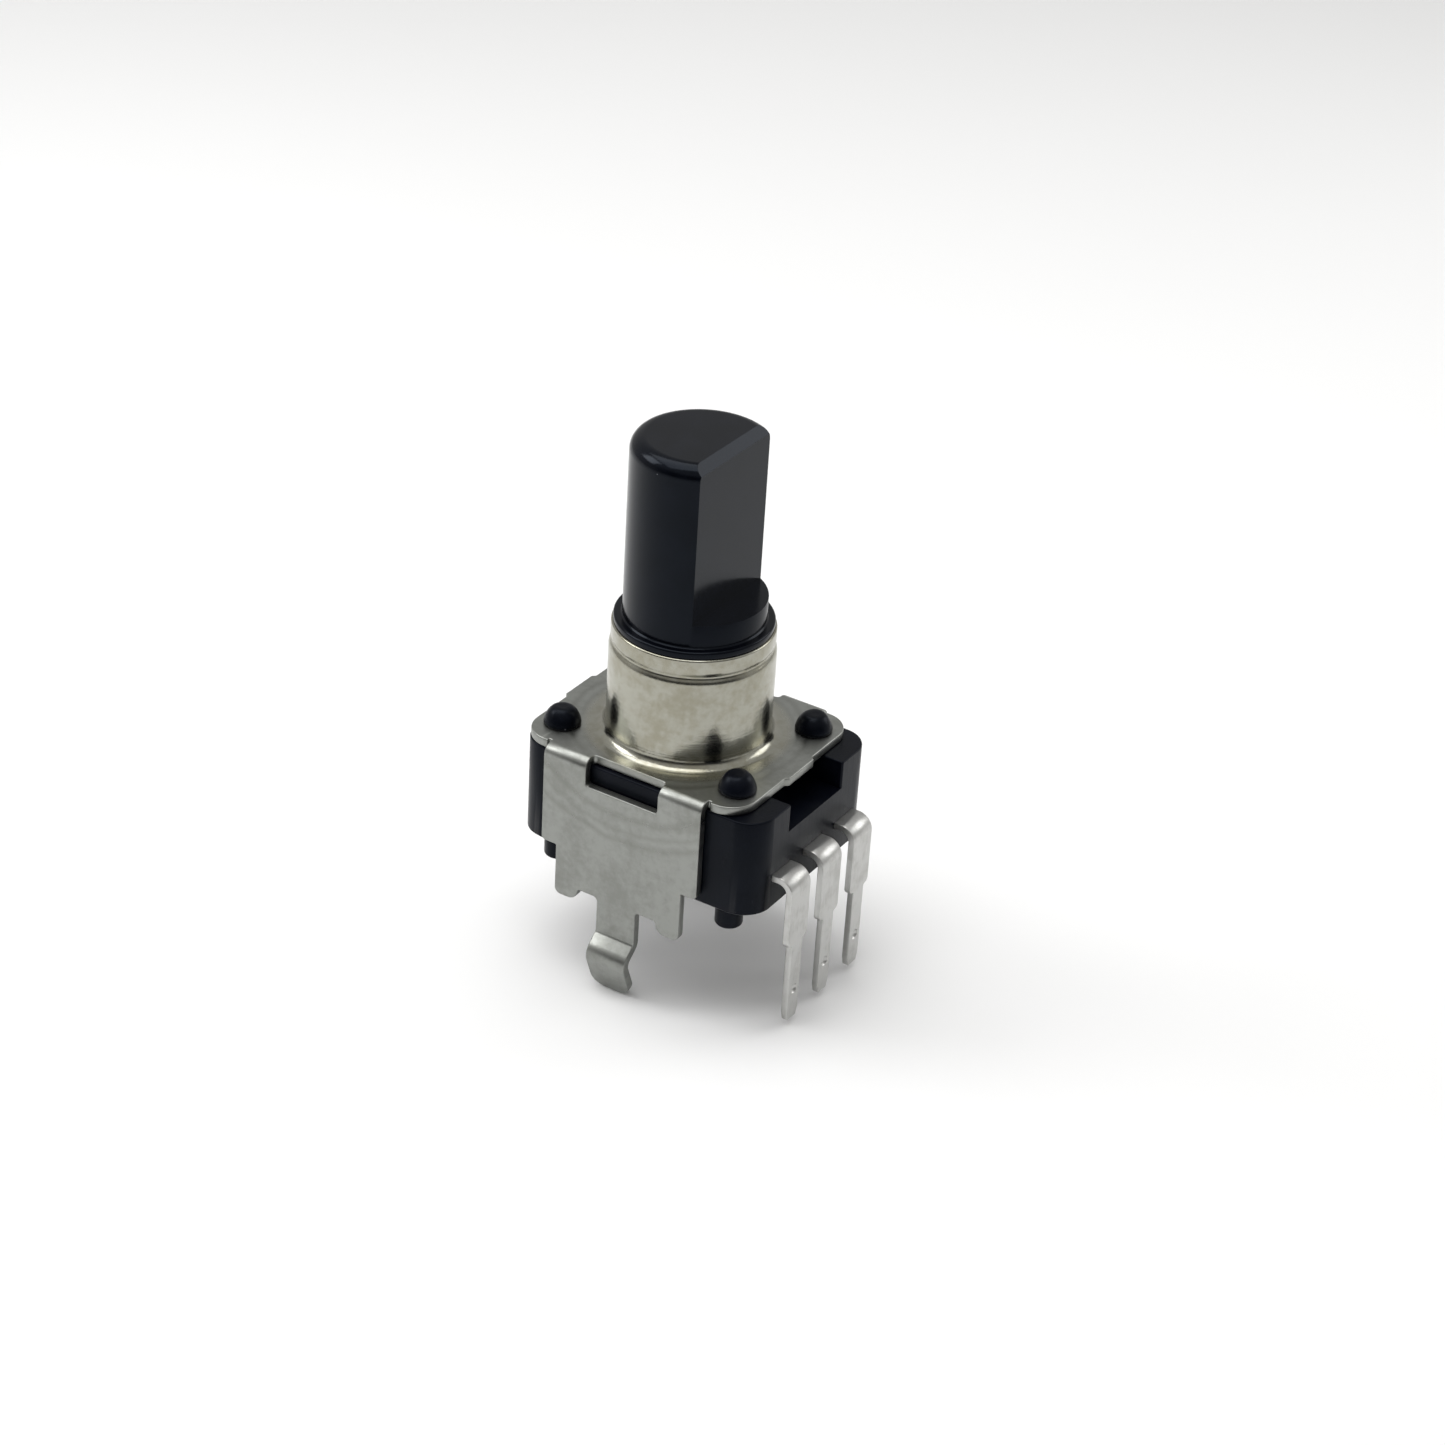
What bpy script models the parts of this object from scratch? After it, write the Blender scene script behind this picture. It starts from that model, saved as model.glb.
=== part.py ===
"""Incremental rotary encoder, 9 mm class, for a printed circuit board.

A stamped steel bracket with a drawn bushing clamps a two-piece black body.
An insulated D-cut shaft turns a detent rotor and a coded contact disc over
three spring brushes, one on each terminal.

Frame: +Z along the shaft, z = 0 on the board, terminals towards -Y, and the
bracket legs at -X and +X. Sizes below are millimetres.
"""

import math

import bmesh
import bpy
from mathutils import Matrix, Vector

MM = 0.001
ROUND_STEPS = 48
WELD = 1e-7
GAP = 0.02

# Bracket
SHEET = 0.4
PLATE_TOP = 7.0
PLATE_HALF_X = 4.55
PLATE_HALF_Y = 5.45
CORNER_RADIUS = 1.25
TAB_HALF_WIDTH = 1.1
TAB_REACH = 0.15
LEG_OUTER_X = 5.0
LEG_HALF_WIDTH = 3.88
LEG_STEP_Z = 2.4
FOOT_OUTER_Y = 3.13
FOOT_INNER_Y = 1.92
FOOT_RADIUS = 0.3
NOTCH_Z = 0.57
RELIEF = 0.14
WINDOW_HALF_WIDTH = 1.78
WINDOW_TOP_X = 4.35
WINDOW_BOTTOM_Z = 5.8
LUG_HALF_WIDTH = 0.965
LUG_KINK_Z = -0.98
LUG_KINK_RADIUS = 0.2
LUG_KINK_ANGLE = math.radians(50)
LUG_RAMP = 0.45
LUG_NOSE_RADIUS = 0.75
LUG_RETURN_ANGLE = math.radians(22)
LUG_TIP_Z = -3.7
LUG_TIP_RADIUS = 0.62

# Bushing, drawn up out of the bracket's plate
BUSHING_RADIUS = 3.5
BUSHING_BORE = 3.1
BUSHING_HEIGHT = 5.1
BUSHING_FILLET = 0.45
BUSHING_NECK_RADIUS = 3.44
GROOVE_DROP = 0.82
GROOVE_DEPTH = 0.07
GROOVE_WIDTH = 0.16
RIM_CHAMFER = 0.15

# Shaft
SHAFT_RADIUS = 3.0
SHAFT_TIP_Z = 20.5
SHAFT_TIP_FILLET = 0.65
COLLAR_RADIUS = 3.36
COLLAR_HEIGHT = 0.3
JOURNAL_RADIUS = 3.05
FLAT_FROM_AXIS = 1.5
FLAT_BOTTOM_Z = 13.45
HEX_ACROSS_FLATS = 2.6
HEX_TURN = math.radians(4)
HEX_END_Z = 5.5
SPIGOT_RADIUS = 0.95
SPIGOT_END_Z = 4.62

# Body: the housing stands on the base, and both have the plate's plan
BODY_HALF_X = 4.55
BODY_FRONT_Y = -6.4
BODY_BACK_Y = 5.5
BASE_BOTTOM_Z = 1.95
BASE_CHAMFER = 0.2
FLOOR_Z = 4.4
BODY_TOP_Z = PLATE_TOP - SHEET - GAP
CHAMBER_RADIUS = 4.15
EAR_INNER_X = 2.05
WALL_TOP_Z = 5.3
WALL_SETBACK = 0.02
STAKE_X = 3.0
STAKE_Y = 4.35
STAKE_RADIUS = 0.5
STAKE_HOLE_RADIUS = 0.56
STAKE_HEAD_RADIUS = 0.8
STAKE_HEAD_HEIGHT = 0.8
BOSS_RADIUS = 0.6
BOSS_BOTTOM_Z = 0.45

# Terminals and brushes
PITCH = 2.5
TERMINAL_SHEET = 0.3
TERMINAL_TOP_Z = 3.75
TERMINAL_OUTER_Y = -7.43
TERMINAL_BEND_RADIUS = 0.7
TERMINAL_INNER_Y = -2.25
TERMINAL_HALF_WIDTH = 0.75
TERMINAL_SHOULDER_Z = 0.6
PIN_HALF_WIDTH = 0.43
PIN_TIP_HALF_WIDTH = 0.32
PIN_TAPER = 0.45
PIN_TIP_Z = -3.4
BRUSH_SHEET = 0.12
BRUSH_HALF_WIDTH = 0.42
BRUSH_SLIT = 0.2
BRUSH_FOOT = 0.95
BRUSH_BEND_RADIUS = 0.3
BRUSH_CURL = math.radians(35)
BRUSH_RAMP_ROOM = 1.35
SIGNAL_FOOT_Y = -3.4
SIGNAL_CONTACT_Y = -0.6
COMMON_FOOT_Y = -4.0
COMMON_CONTACT_Y = -1.75

# Turning parts inside
DISC_SHEET = 0.15
DISC_BOTTOM_Z = 5.05
DISC_BORE = 1.35
COMMON_RING_RADIUS = 2.1
DISC_RADIUS = 3.4
PULSES = 15
DETENTS = 30
ROTOR_RADIUS = 3.95
ROTOR_TOP_Z = 6.02
ROTOR_HUB_RADIUS = 2.5
ROTOR_HUB_TOP_Z = 6.5
ROTOR_NOSE_RADIUS = 1.3
DETENT_INNER_RADIUS = 3.0
DETENT_DEPTH = 0.14
RING_SHEET = 0.2
RING_OUTER = 1.28

# Click spring
CLICK_SHEET = 0.14
CLICK_INNER = 3.2
CLICK_OUTER = 4.05
CLICK_DROP = 0.36
CLICK_BUMP_ANGLE = math.radians(42)
CLICK_TAB_HALF_WIDTH = 0.5
CLICK_TAB_REACH = 0.45

# ---------------------------------------------------------------- scene set-up


def clear_scene():
    for obj in list(bpy.data.objects):
        bpy.data.objects.remove(obj, do_unlink=True)


def new_collection(name):
    collection = bpy.data.collections.new(name)
    bpy.context.scene.collection.children.link(collection)
    return collection


def new_material(name, colour, metallic, roughness):
    material = bpy.data.materials.new(name)
    material.use_nodes = True
    shader = material.node_tree.nodes["Principled BSDF"]
    shader.inputs["Base Color"].default_value = (*colour, 1.0)
    shader.inputs["Metallic"].default_value = metallic
    shader.inputs["Roughness"].default_value = roughness
    return material


clear_scene()
PARTS = new_collection("rotary_encoder")
CUTTERS = new_collection("cutters")
PLATED_STEEL = new_material("plated_steel", (0.40, 0.39, 0.35), 1.0, 0.38)
TINNED_BRASS = new_material("tinned_brass", (0.62, 0.61, 0.58), 1.0, 0.33)
BLACK_RESIN = new_material("black_resin", (0.018, 0.019, 0.028), 0.0, 0.42)
SHAFT_RESIN = new_material("shaft_resin", (0.022, 0.024, 0.030), 0.0, 0.35)
ROTOR_RESIN = new_material("rotor_resin", (0.75, 0.73, 0.66), 0.0, 0.45)
BRONZE = new_material("phosphor_bronze", (0.62, 0.38, 0.20), 1.0, 0.30)
SPRING_STEEL = new_material("spring_steel", (0.55, 0.55, 0.56), 1.0, 0.25)
SILVERED = new_material("silvered_brass", (0.80, 0.78, 0.72), 1.0, 0.22)

# ------------------------------------------------------------- modelling tools


def add_object(name, mesh, material=None, collection=None):
    """Link a mesh as a part, or as a hidden helper when it has no material."""
    obj = bpy.data.objects.new(name, mesh)
    (collection or (PARTS if material else CUTTERS)).objects.link(obj)
    if material:
        mesh.materials.append(material)
    else:
        obj.hide_render = True
        obj.display_type = "WIRE"
    return obj


def shade_round(mesh):
    mesh.shade_smooth()
    mesh.set_sharp_from_angle(angle=math.radians(32))


def evaluated_mesh(obj):
    """The object's mesh with its modifiers applied, welded, and the object removed."""
    graph = bpy.context.evaluated_depsgraph_get()
    mesh = bpy.data.meshes.new_from_object(obj.evaluated_get(graph))
    mesh.transform(obj.matrix_world)
    bpy.data.objects.remove(obj, do_unlink=True)
    work = bmesh.new()
    work.from_mesh(mesh)
    bmesh.ops.remove_doubles(work, verts=work.verts, dist=WELD)
    work.to_mesh(mesh)
    work.free()
    return mesh


def boolean(target, other, operation):
    modifier = target.modifiers.new(other.name, "BOOLEAN")
    modifier.operation = operation
    modifier.solver = "EXACT"
    modifier.object = other


def cut(target, other):
    boolean(target, other, "DIFFERENCE")


def unite(target, other):
    boolean(target, other, "UNION")


def box(name, low, high, material=None):
    """A box between two corners, in millimetres."""
    low, high = Vector(low) * MM, Vector(high) * MM
    work = bmesh.new()
    bmesh.ops.create_cube(work, size=1.0)
    bmesh.ops.scale(work, vec=high - low, verts=work.verts)
    bmesh.ops.translate(work, vec=(low + high) / 2, verts=work.verts)
    mesh = bpy.data.meshes.new(name)
    work.to_mesh(mesh)
    work.free()
    return add_object(name, mesh, material)


def prism(name, radius, low_z, high_z, sides=ROUND_STEPS, centre=(0, 0), turn=0.0):
    """A cylinder or a prism that stands on Z, in millimetres."""
    work = bmesh.new()
    bmesh.ops.create_cone(
        work,
        cap_ends=True,
        segments=sides,
        radius1=radius * MM,
        radius2=radius * MM,
        depth=(high_z - low_z) * MM,
        matrix=Matrix.Translation(Vector((*centre, (low_z + high_z) / 2)) * MM)
        @ Matrix.Rotation(turn, 4, "Z"),
    )
    mesh = bpy.data.meshes.new(name)
    work.to_mesh(mesh)
    work.free()
    return add_object(name, mesh)


def turned(name, profile, material=None, steps=ROUND_STEPS, centre=(0, 0), closed=True):
    """Turn a profile of (radius, z) points about Z; it runs down its outer side."""
    mesh = bpy.data.meshes.new(name)
    points = [(radius * MM, 0.0, z * MM) for radius, z in profile]
    last = len(points) - 1
    edges = [(i, i + 1) for i in range(last)]
    if closed and profile[0][0] > 0:
        edges.append((last, 0))
    mesh.from_pydata(points, edges, [])
    obj = add_object(name, mesh, material)
    screw = obj.modifiers.new("turn", "SCREW")
    screw.axis = "Z"
    screw.steps = steps
    screw.render_steps = steps
    screw.use_merge_vertices = True
    screw.merge_threshold = WELD
    screw.use_smooth_shade = True
    obj.location = (centre[0] * MM, centre[1] * MM, 0)
    return obj


def arc(centre, radius, start, end, steps):
    """Points of an arc from one angle to another, in degrees, both ends included."""
    angles = [math.radians(start + (end - start) * i / steps) for i in range(steps + 1)]
    return [
        (centre[0] + radius * math.cos(a), centre[1] + radius * math.sin(a))
        for a in angles
    ]


def rounded_rectangle(low, high, radius, steps=6):
    """Anticlockwise outline with four equal round corners."""
    corners = (
        ((high[0] - radius, high[1] - radius), 0),
        ((low[0] + radius, high[1] - radius), 90),
        ((low[0] + radius, low[1] + radius), 180),
        ((high[0] - radius, low[1] + radius), 270),
    )
    return [p for c, start in corners for p in arc(c, radius, start, start + 90, steps)]


def circle(centre, radius, steps=24):
    return arc(centre, radius, 0, 360, steps)[:-1]


def plate_mesh(name, outlines, low_z, high_z):
    """A flat plate between two heights; outlines after the first are holes."""
    curve = bpy.data.curves.new(name, "CURVE")
    curve.dimensions = "2D"
    curve.fill_mode = "BOTH"
    curve.extrude = (high_z - low_z) / 2 * MM
    for outline in outlines:
        spline = curve.splines.new("POLY")
        spline.points.add(len(outline) - 1)
        for point, (x, y) in zip(spline.points, outline):
            point.co = (x * MM, y * MM, 0, 1)
        spline.use_cyclic_u = True
    obj = bpy.data.objects.new(name, curve)
    CUTTERS.objects.link(obj)
    obj.location.z = (low_z + high_z) / 2 * MM
    bpy.context.view_layer.update()
    return evaluated_mesh(obj)


class FoldLine:
    """The outer side of a folded sheet, followed as lengths and turns from x = 0.

    Positive turns bend the sheet down. A blank that lies along x is folded by
    carrying each of its points to the same distance along this line.
    """

    def __init__(self, height):
        self.height = height
        self.spans = []
        self.length = 0.0
        self.heading = 0.0
        self.x = 0.0
        self.z = height

    def straight(self, length):
        self.spans.append((self.length, length, 0.0, self.x, self.z, self.heading))
        self.x += length * math.cos(self.heading)
        self.z -= length * math.sin(self.heading)
        self.length += length
        return self

    def turn(self, angle, radius):
        """Bend by an angle; the radius is that of the outer side, on either bend."""
        length = abs(angle) * radius
        curvature = angle / length
        self.spans.append((self.length, length, curvature, self.x, self.z, self.heading))
        end = self.at(self.length + length, 0.0)
        self.x, self.z = end
        self.heading += angle
        self.length += length
        return self

    def at(self, distance, depth):
        """(x, z) at a distance along the sheet and a depth below its outer side."""
        for start, length, curvature, x, z, heading in reversed(self.spans):
            if distance >= start - 1e-9:
                break
        run = distance - start
        angle = heading + curvature * run
        if curvature:
            x += (math.sin(angle) - math.sin(heading)) / curvature
            z += (math.cos(angle) - math.cos(heading)) / curvature
        else:
            x += run * math.cos(heading)
            z -= run * math.sin(heading)
        return x - depth * math.sin(angle), z - depth * math.cos(angle)

    def cuts(self, step=math.radians(15)):
        """Distances where the blank needs an edge: bend ends and steps inside them."""
        found = set()
        for start, length, curvature, *_ in self.spans:
            steps = max(1, round(abs(curvature) * length / step))
            found |= {round(start + length * i / steps, 6) for i in range(steps + 1)}
        return sorted(found - {0.0, round(self.length, 6)})


def fold(mesh, line, top):
    """Fold a flat blank, whose upper side is at z = top, along both ways from x = 0."""
    work = bmesh.new()
    work.from_mesh(mesh)
    for distance in line.cuts():
        for side in (-1, 1):
            bmesh.ops.bisect_plane(
                work,
                geom=work.verts[:] + work.edges[:] + work.faces[:],
                dist=WELD,
                plane_co=(side * distance * MM, 0, 0),
                plane_no=(1, 0, 0),
            )
    for vert in work.verts:
        side = math.copysign(1.0, vert.co.x)
        x, z = line.at(abs(vert.co.x) / MM, top - vert.co.z / MM)
        vert.co.x, vert.co.z = side * x * MM, z * MM
    bmesh.ops.recalc_face_normals(work, faces=work.faces)
    work.to_mesh(mesh)
    work.free()


# --------------------------------------------------------------------- bracket


def leg_line():
    """Plate, edge fold, leg, and the lug's kink, nose and return."""
    bend = LEG_OUTER_X - PLATE_HALF_X
    lug_down = PLATE_TOP - bend - LUG_KINK_Z
    line = FoldLine(PLATE_TOP).straight(PLATE_HALF_X).turn(math.pi / 2, bend)
    line.straight(lug_down).turn(-LUG_KINK_ANGLE, LUG_KINK_RADIUS).straight(LUG_RAMP)
    line.turn(LUG_KINK_ANGLE + LUG_RETURN_ANGLE, LUG_NOSE_RADIUS)
    return line.straight((line.z - LUG_TIP_Z) / math.cos(LUG_RETURN_ANGLE))


def half_bracket_outline(line):
    """Blank outline from the middle of the back tab round to the front tab, x > 0."""
    vertical = PLATE_HALF_X + math.pi / 2 * (LEG_OUTER_X - PLATE_HALF_X)
    leg_top = PLATE_TOP - (LEG_OUTER_X - PLATE_HALF_X)

    def down(z):
        return vertical + leg_top - z

    edge_x, edge_y, r = PLATE_HALF_X, PLATE_HALF_Y, CORNER_RADIUS
    tip = line.length
    foot = down(0)
    quarter = [
        (TAB_HALF_WIDTH - TAB_REACH, edge_y + TAB_REACH),
        (TAB_HALF_WIDTH, edge_y),
        *reversed(arc((edge_x - r, edge_y - r), r, 0, 90, 6)),
        (edge_x, LEG_HALF_WIDTH + RELIEF),
        (edge_x - RELIEF, LEG_HALF_WIDTH + RELIEF),
        (edge_x - RELIEF, LEG_HALF_WIDTH),
        *reversed(arc((down(LEG_STEP_Z) - 0.2, LEG_HALF_WIDTH - 0.2), 0.2, 0, 90, 3)),
        (down(LEG_STEP_Z), FOOT_OUTER_Y),
        *reversed(arc((foot - FOOT_RADIUS, FOOT_OUTER_Y - FOOT_RADIUS), FOOT_RADIUS, 0, 90, 4)),
        *reversed(arc((foot - FOOT_RADIUS, FOOT_INNER_Y + 0.6), FOOT_RADIUS, -60, 0, 3)),
        (down(NOTCH_Z), FOOT_INNER_Y),
        *arc((down(NOTCH_Z) + 0.2, LUG_HALF_WIDTH + 0.2), 0.2, 180, 270, 3),
        *reversed(
            arc((tip - LUG_TIP_RADIUS, LUG_HALF_WIDTH - LUG_TIP_RADIUS), LUG_TIP_RADIUS, 0, 90, 5)
        ),
    ]
    return quarter + [(x, -y) for x, y in reversed(quarter)]


def bushing_mesh():
    """Neck drawn up from the plate, open at its foot, where it meets the plate's opening."""
    top = PLATE_TOP + BUSHING_HEIGHT
    groove = top - GROOVE_DROP
    foot = BUSHING_RADIUS + BUSHING_FILLET
    underside = PLATE_TOP - SHEET
    draw = BUSHING_RADIUS - BUSHING_BORE
    profile = [
        (foot, underside),
        *reversed(arc((BUSHING_BORE + draw, underside + draw), draw, 180, 270, 3)),
        (BUSHING_BORE, top),
        (BUSHING_NECK_RADIUS - RIM_CHAMFER, top),
        (BUSHING_NECK_RADIUS, top - RIM_CHAMFER),
        (BUSHING_NECK_RADIUS, groove + GROOVE_WIDTH / 2),
        (BUSHING_NECK_RADIUS - GROOVE_DEPTH, groove),
        (BUSHING_RADIUS, groove - GROOVE_WIDTH / 2),
        *arc((foot, PLATE_TOP + BUSHING_FILLET), BUSHING_FILLET, 180, 270, 4),
    ]
    neck = turned("bushing_neck", profile, closed=False)
    bpy.context.view_layer.update()
    return evaluated_mesh(neck)


def join_neck(mesh, neck):
    """Replace the wall of the plate's round opening with the neck, edge to edge."""
    foot = (BUSHING_RADIUS + BUSHING_FILLET) * MM
    work = bmesh.new()
    work.from_mesh(mesh)
    wall = [
        face
        for face in work.faces
        if abs(face.normal.z) < 0.5
        and all(abs(vert.co.xy.length - foot) < GAP * MM for vert in face.verts)
    ]
    bmesh.ops.delete(work, geom=wall, context="FACES")
    work.from_mesh(neck)
    bmesh.ops.remove_doubles(work, verts=work.verts, dist=GAP * MM / 10)
    bmesh.ops.recalc_face_normals(work, faces=work.faces)
    work.to_mesh(mesh)
    work.free()


def add_bracket():
    line = leg_line()
    half = half_bracket_outline(line)
    outline = half + [(-x, -y) for x, y in half]
    bend = LEG_OUTER_X - PLATE_HALF_X
    window_end = PLATE_HALF_X + math.pi / 2 * bend + PLATE_TOP - bend - WINDOW_BOTTOM_Z
    windows = [
        rounded_rectangle(
            (min(a, b), -WINDOW_HALF_WIDTH), (max(a, b), WINDOW_HALF_WIDTH), 0.12, 2
        )
        for a, b in ((WINDOW_TOP_X, window_end), (-WINDOW_TOP_X, -window_end))
    ]
    holes = [
        circle((side * STAKE_X, end * STAKE_Y), STAKE_HOLE_RADIUS, 16)
        for side in (-1, 1)
        for end in (-1, 1)
    ]
    opening = circle((0, 0), BUSHING_RADIUS + BUSHING_FILLET, ROUND_STEPS)
    mesh = plate_mesh(
        "bracket", [outline, opening, *windows, *holes], PLATE_TOP - SHEET, PLATE_TOP
    )
    fold(mesh, line, PLATE_TOP)
    join_neck(mesh, bushing_mesh())
    add_object("bracket", mesh, PLATED_STEEL)
    shade_round(mesh)


# ------------------------------------------------------------------------ body


def body_outline(front, corner=CORNER_RADIUS):
    return rounded_rectangle((-BODY_HALF_X, front), (BODY_HALF_X, BODY_BACK_Y), corner)


def stake_places():
    return [(x, y) for x in (-STAKE_X, STAKE_X) for y in (-STAKE_Y, STAKE_Y)]


def click_tabs(name, clearance, low_z, high_z):
    """Tabs that key the click spring to the housing, as one bar across the chamber."""
    reach = CLICK_OUTER + CLICK_TAB_REACH + clearance
    half = CLICK_TAB_HALF_WIDTH + clearance
    return box(name, (-half, -reach, low_z), (half, reach, high_z))


def add_housing():
    mesh = plate_mesh(
        "housing",
        [body_outline(BODY_FRONT_Y), circle((0, 0), CHAMBER_RADIUS, ROUND_STEPS)]
        + [circle(place, STAKE_HOLE_RADIUS, 16) for place in stake_places()],
        FLOOR_Z + GAP,
        BODY_TOP_Z,
    )
    housing = add_object("housing", mesh, BLACK_RESIN)
    recess = box(
        "front_recess",
        (-EAR_INNER_X, BODY_FRONT_Y - 1, FLOOR_Z - 1),
        (EAR_INNER_X, -CHAMBER_RADIUS / 2, BODY_TOP_Z + 1),
    )
    cut(housing, recess)
    spring_z = BODY_TOP_Z - CLICK_SHEET - 2 * GAP
    cut(housing, click_tabs("click_tab_pockets", GAP, spring_z, BODY_TOP_Z + 1))
    shade_round(mesh)


def add_stake(place):
    """A pin through the housing and bracket with its head formed over the plate."""
    head = PLATE_TOP + GAP
    crown = head + STAKE_HEAD_HEIGHT
    profile = [
        (0, crown),
        (STAKE_HEAD_RADIUS * 0.55, crown),
        (STAKE_HEAD_RADIUS * 0.85, crown - 0.12),
        (STAKE_HEAD_RADIUS, crown - 0.32),
        (STAKE_HEAD_RADIUS, head),
        (STAKE_RADIUS, head),
        (STAKE_RADIUS, BASE_BOTTOM_Z + 1),
        (0, BASE_BOTTOM_Z + 1),
    ]
    return turned("stake", profile, steps=16, centre=place)


def add_boss(place):
    """A short round foot under the base, its end softened."""
    profile = [
        (0, BASE_BOTTOM_Z + 1),
        (BOSS_RADIUS, BASE_BOTTOM_Z + 1),
        (BOSS_RADIUS, BOSS_BOTTOM_Z + 0.15),
        (BOSS_RADIUS - 0.15, BOSS_BOTTOM_Z),
        (0, BOSS_BOTTOM_Z),
    ]
    return turned("boss", profile, steps=16, centre=place)


def add_base():
    """Floor of the rotor chamber, with the stakes, the feet and the terminals' slots."""
    mesh = plate_mesh("base", [body_outline(BODY_FRONT_Y)], BASE_BOTTOM_Z, FLOOR_Z)
    work = bmesh.new()
    work.from_mesh(mesh)
    bottom = BASE_BOTTOM_Z * MM
    rim = [e for e in work.edges if all(abs(v.co.z - bottom) < WELD for v in e.verts)]
    rim = [e for e in rim if e.calc_face_angle(0.0) > math.radians(45)]
    bmesh.ops.bevel(
        work, geom=rim, offset=BASE_CHAMFER * MM, segments=1, affect="EDGES", profile=0.5
    )
    work.to_mesh(mesh)
    work.free()
    base = add_object("base", mesh, BLACK_RESIN)

    wall = box(
        "front_wall",
        (-EAR_INNER_X + GAP, BODY_FRONT_Y + WALL_SETBACK, FLOOR_Z - 0.5),
        (EAR_INNER_X - GAP, -CHAMBER_RADIUS - 0.25, WALL_TOP_Z),
    )
    unite(base, wall)
    for place in stake_places():
        unite(base, add_stake(place))
        unite(base, add_boss(place))
    for x, foot_y in (
        (-PITCH, SIGNAL_FOOT_Y),
        (0, COMMON_FOOT_Y),
        (PITCH, SIGNAL_FOOT_Y),
    ):
        half = TERMINAL_HALF_WIDTH + GAP
        slot = box(
            "terminal_slot",
            (x - half, BODY_FRONT_Y - 1, TERMINAL_TOP_Z - TERMINAL_SHEET - GAP),
            (x + half, TERMINAL_INNER_Y + GAP, TERMINAL_TOP_Z + GAP),
        )
        pocket = box(
            "brush_pocket",
            (x - half, foot_y - 0.1, TERMINAL_TOP_Z - GAP),
            (x + half, foot_y + BRUSH_FOOT + BRUSH_RAMP_ROOM, FLOOR_Z + 0.5),
        )
        cut(base, slot)
        cut(base, pocket)
    shade_round(mesh)


# ------------------------------------------------------- terminals and brushes


def terminal_line():
    """Flat tail inside the base, one bend, then the pin straight down."""
    reach = -TERMINAL_OUTER_Y - TERMINAL_BEND_RADIUS
    line = FoldLine(TERMINAL_TOP_Z).straight(reach)
    line.turn(math.pi / 2, TERMINAL_BEND_RADIUS)
    return line.straight(line.z - PIN_TIP_Z)


def add_terminal(name, x):
    """Blank along +X, folded, then turned so that its pin stands at -Y."""
    line = terminal_line()
    tip = line.length
    shoulder = tip - (TERMINAL_SHOULDER_Z - PIN_TIP_Z)
    half = [
        (-TERMINAL_INNER_Y, TERMINAL_HALF_WIDTH),
        (shoulder - 0.06, TERMINAL_HALF_WIDTH),
        (shoulder + 0.1, TERMINAL_HALF_WIDTH - 0.1),
        (shoulder + 0.16, PIN_HALF_WIDTH),
        (tip - PIN_TAPER, PIN_HALF_WIDTH),
        (tip, PIN_TIP_HALF_WIDTH),
    ]
    outline = half + [(s, -y) for s, y in reversed(half)]
    mesh = plate_mesh(name, [outline], TERMINAL_TOP_Z - TERMINAL_SHEET, TERMINAL_TOP_Z)
    fold(mesh, line, TERMINAL_TOP_Z)
    mesh.transform(
        Matrix.Translation((x * MM, 0, 0)) @ Matrix.Rotation(-math.pi / 2, 4, "Z")
    )
    add_object(name, mesh, TINNED_BRASS)
    shade_round(mesh)


def brush_line(run):
    """Foot, bend up, straight arm and rounded contact, whose top is `run` past the foot."""
    rise = DISC_BOTTOM_Z - TERMINAL_TOP_Z - BRUSH_SHEET - 2 * GAP
    bends = 2 * BRUSH_BEND_RADIUS
    arm = math.sqrt((bends - rise) ** 2 + run**2 - bends**2)
    angle = math.atan2(run, bends - rise) - math.atan2(arm, bends)
    line = FoldLine(TERMINAL_TOP_Z + GAP + BRUSH_SHEET).straight(BRUSH_FOOT)
    line.turn(-angle, BRUSH_BEND_RADIUS).straight(arm)
    return line.turn(angle + BRUSH_CURL, BRUSH_BEND_RADIUS).straight(BRUSH_SHEET)


def add_brush(name, x, foot_y, contact_y):
    """Forked spring strip that stands on its terminal's tail and reaches towards +Y."""
    line = brush_line(contact_y - foot_y - BRUSH_FOOT)
    half, slit, tip = BRUSH_HALF_WIDTH, BRUSH_SLIT / 2, line.length
    fork = [(0, -half), (tip, -half), (tip, -slit), (BRUSH_FOOT, -slit)]
    outline = fork + [(s, -y) for s, y in reversed(fork)]
    mesh = plate_mesh(name, [outline], line.height - BRUSH_SHEET, line.height)
    fold(mesh, line, line.height)
    place = Matrix.Translation((x * MM, foot_y * MM, 0))
    mesh.transform(place @ Matrix.Rotation(math.pi / 2, 4, "Z"))
    add_object(name, mesh, BRONZE)
    shade_round(mesh)


# --------------------------------------------------------------- turning parts


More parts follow.
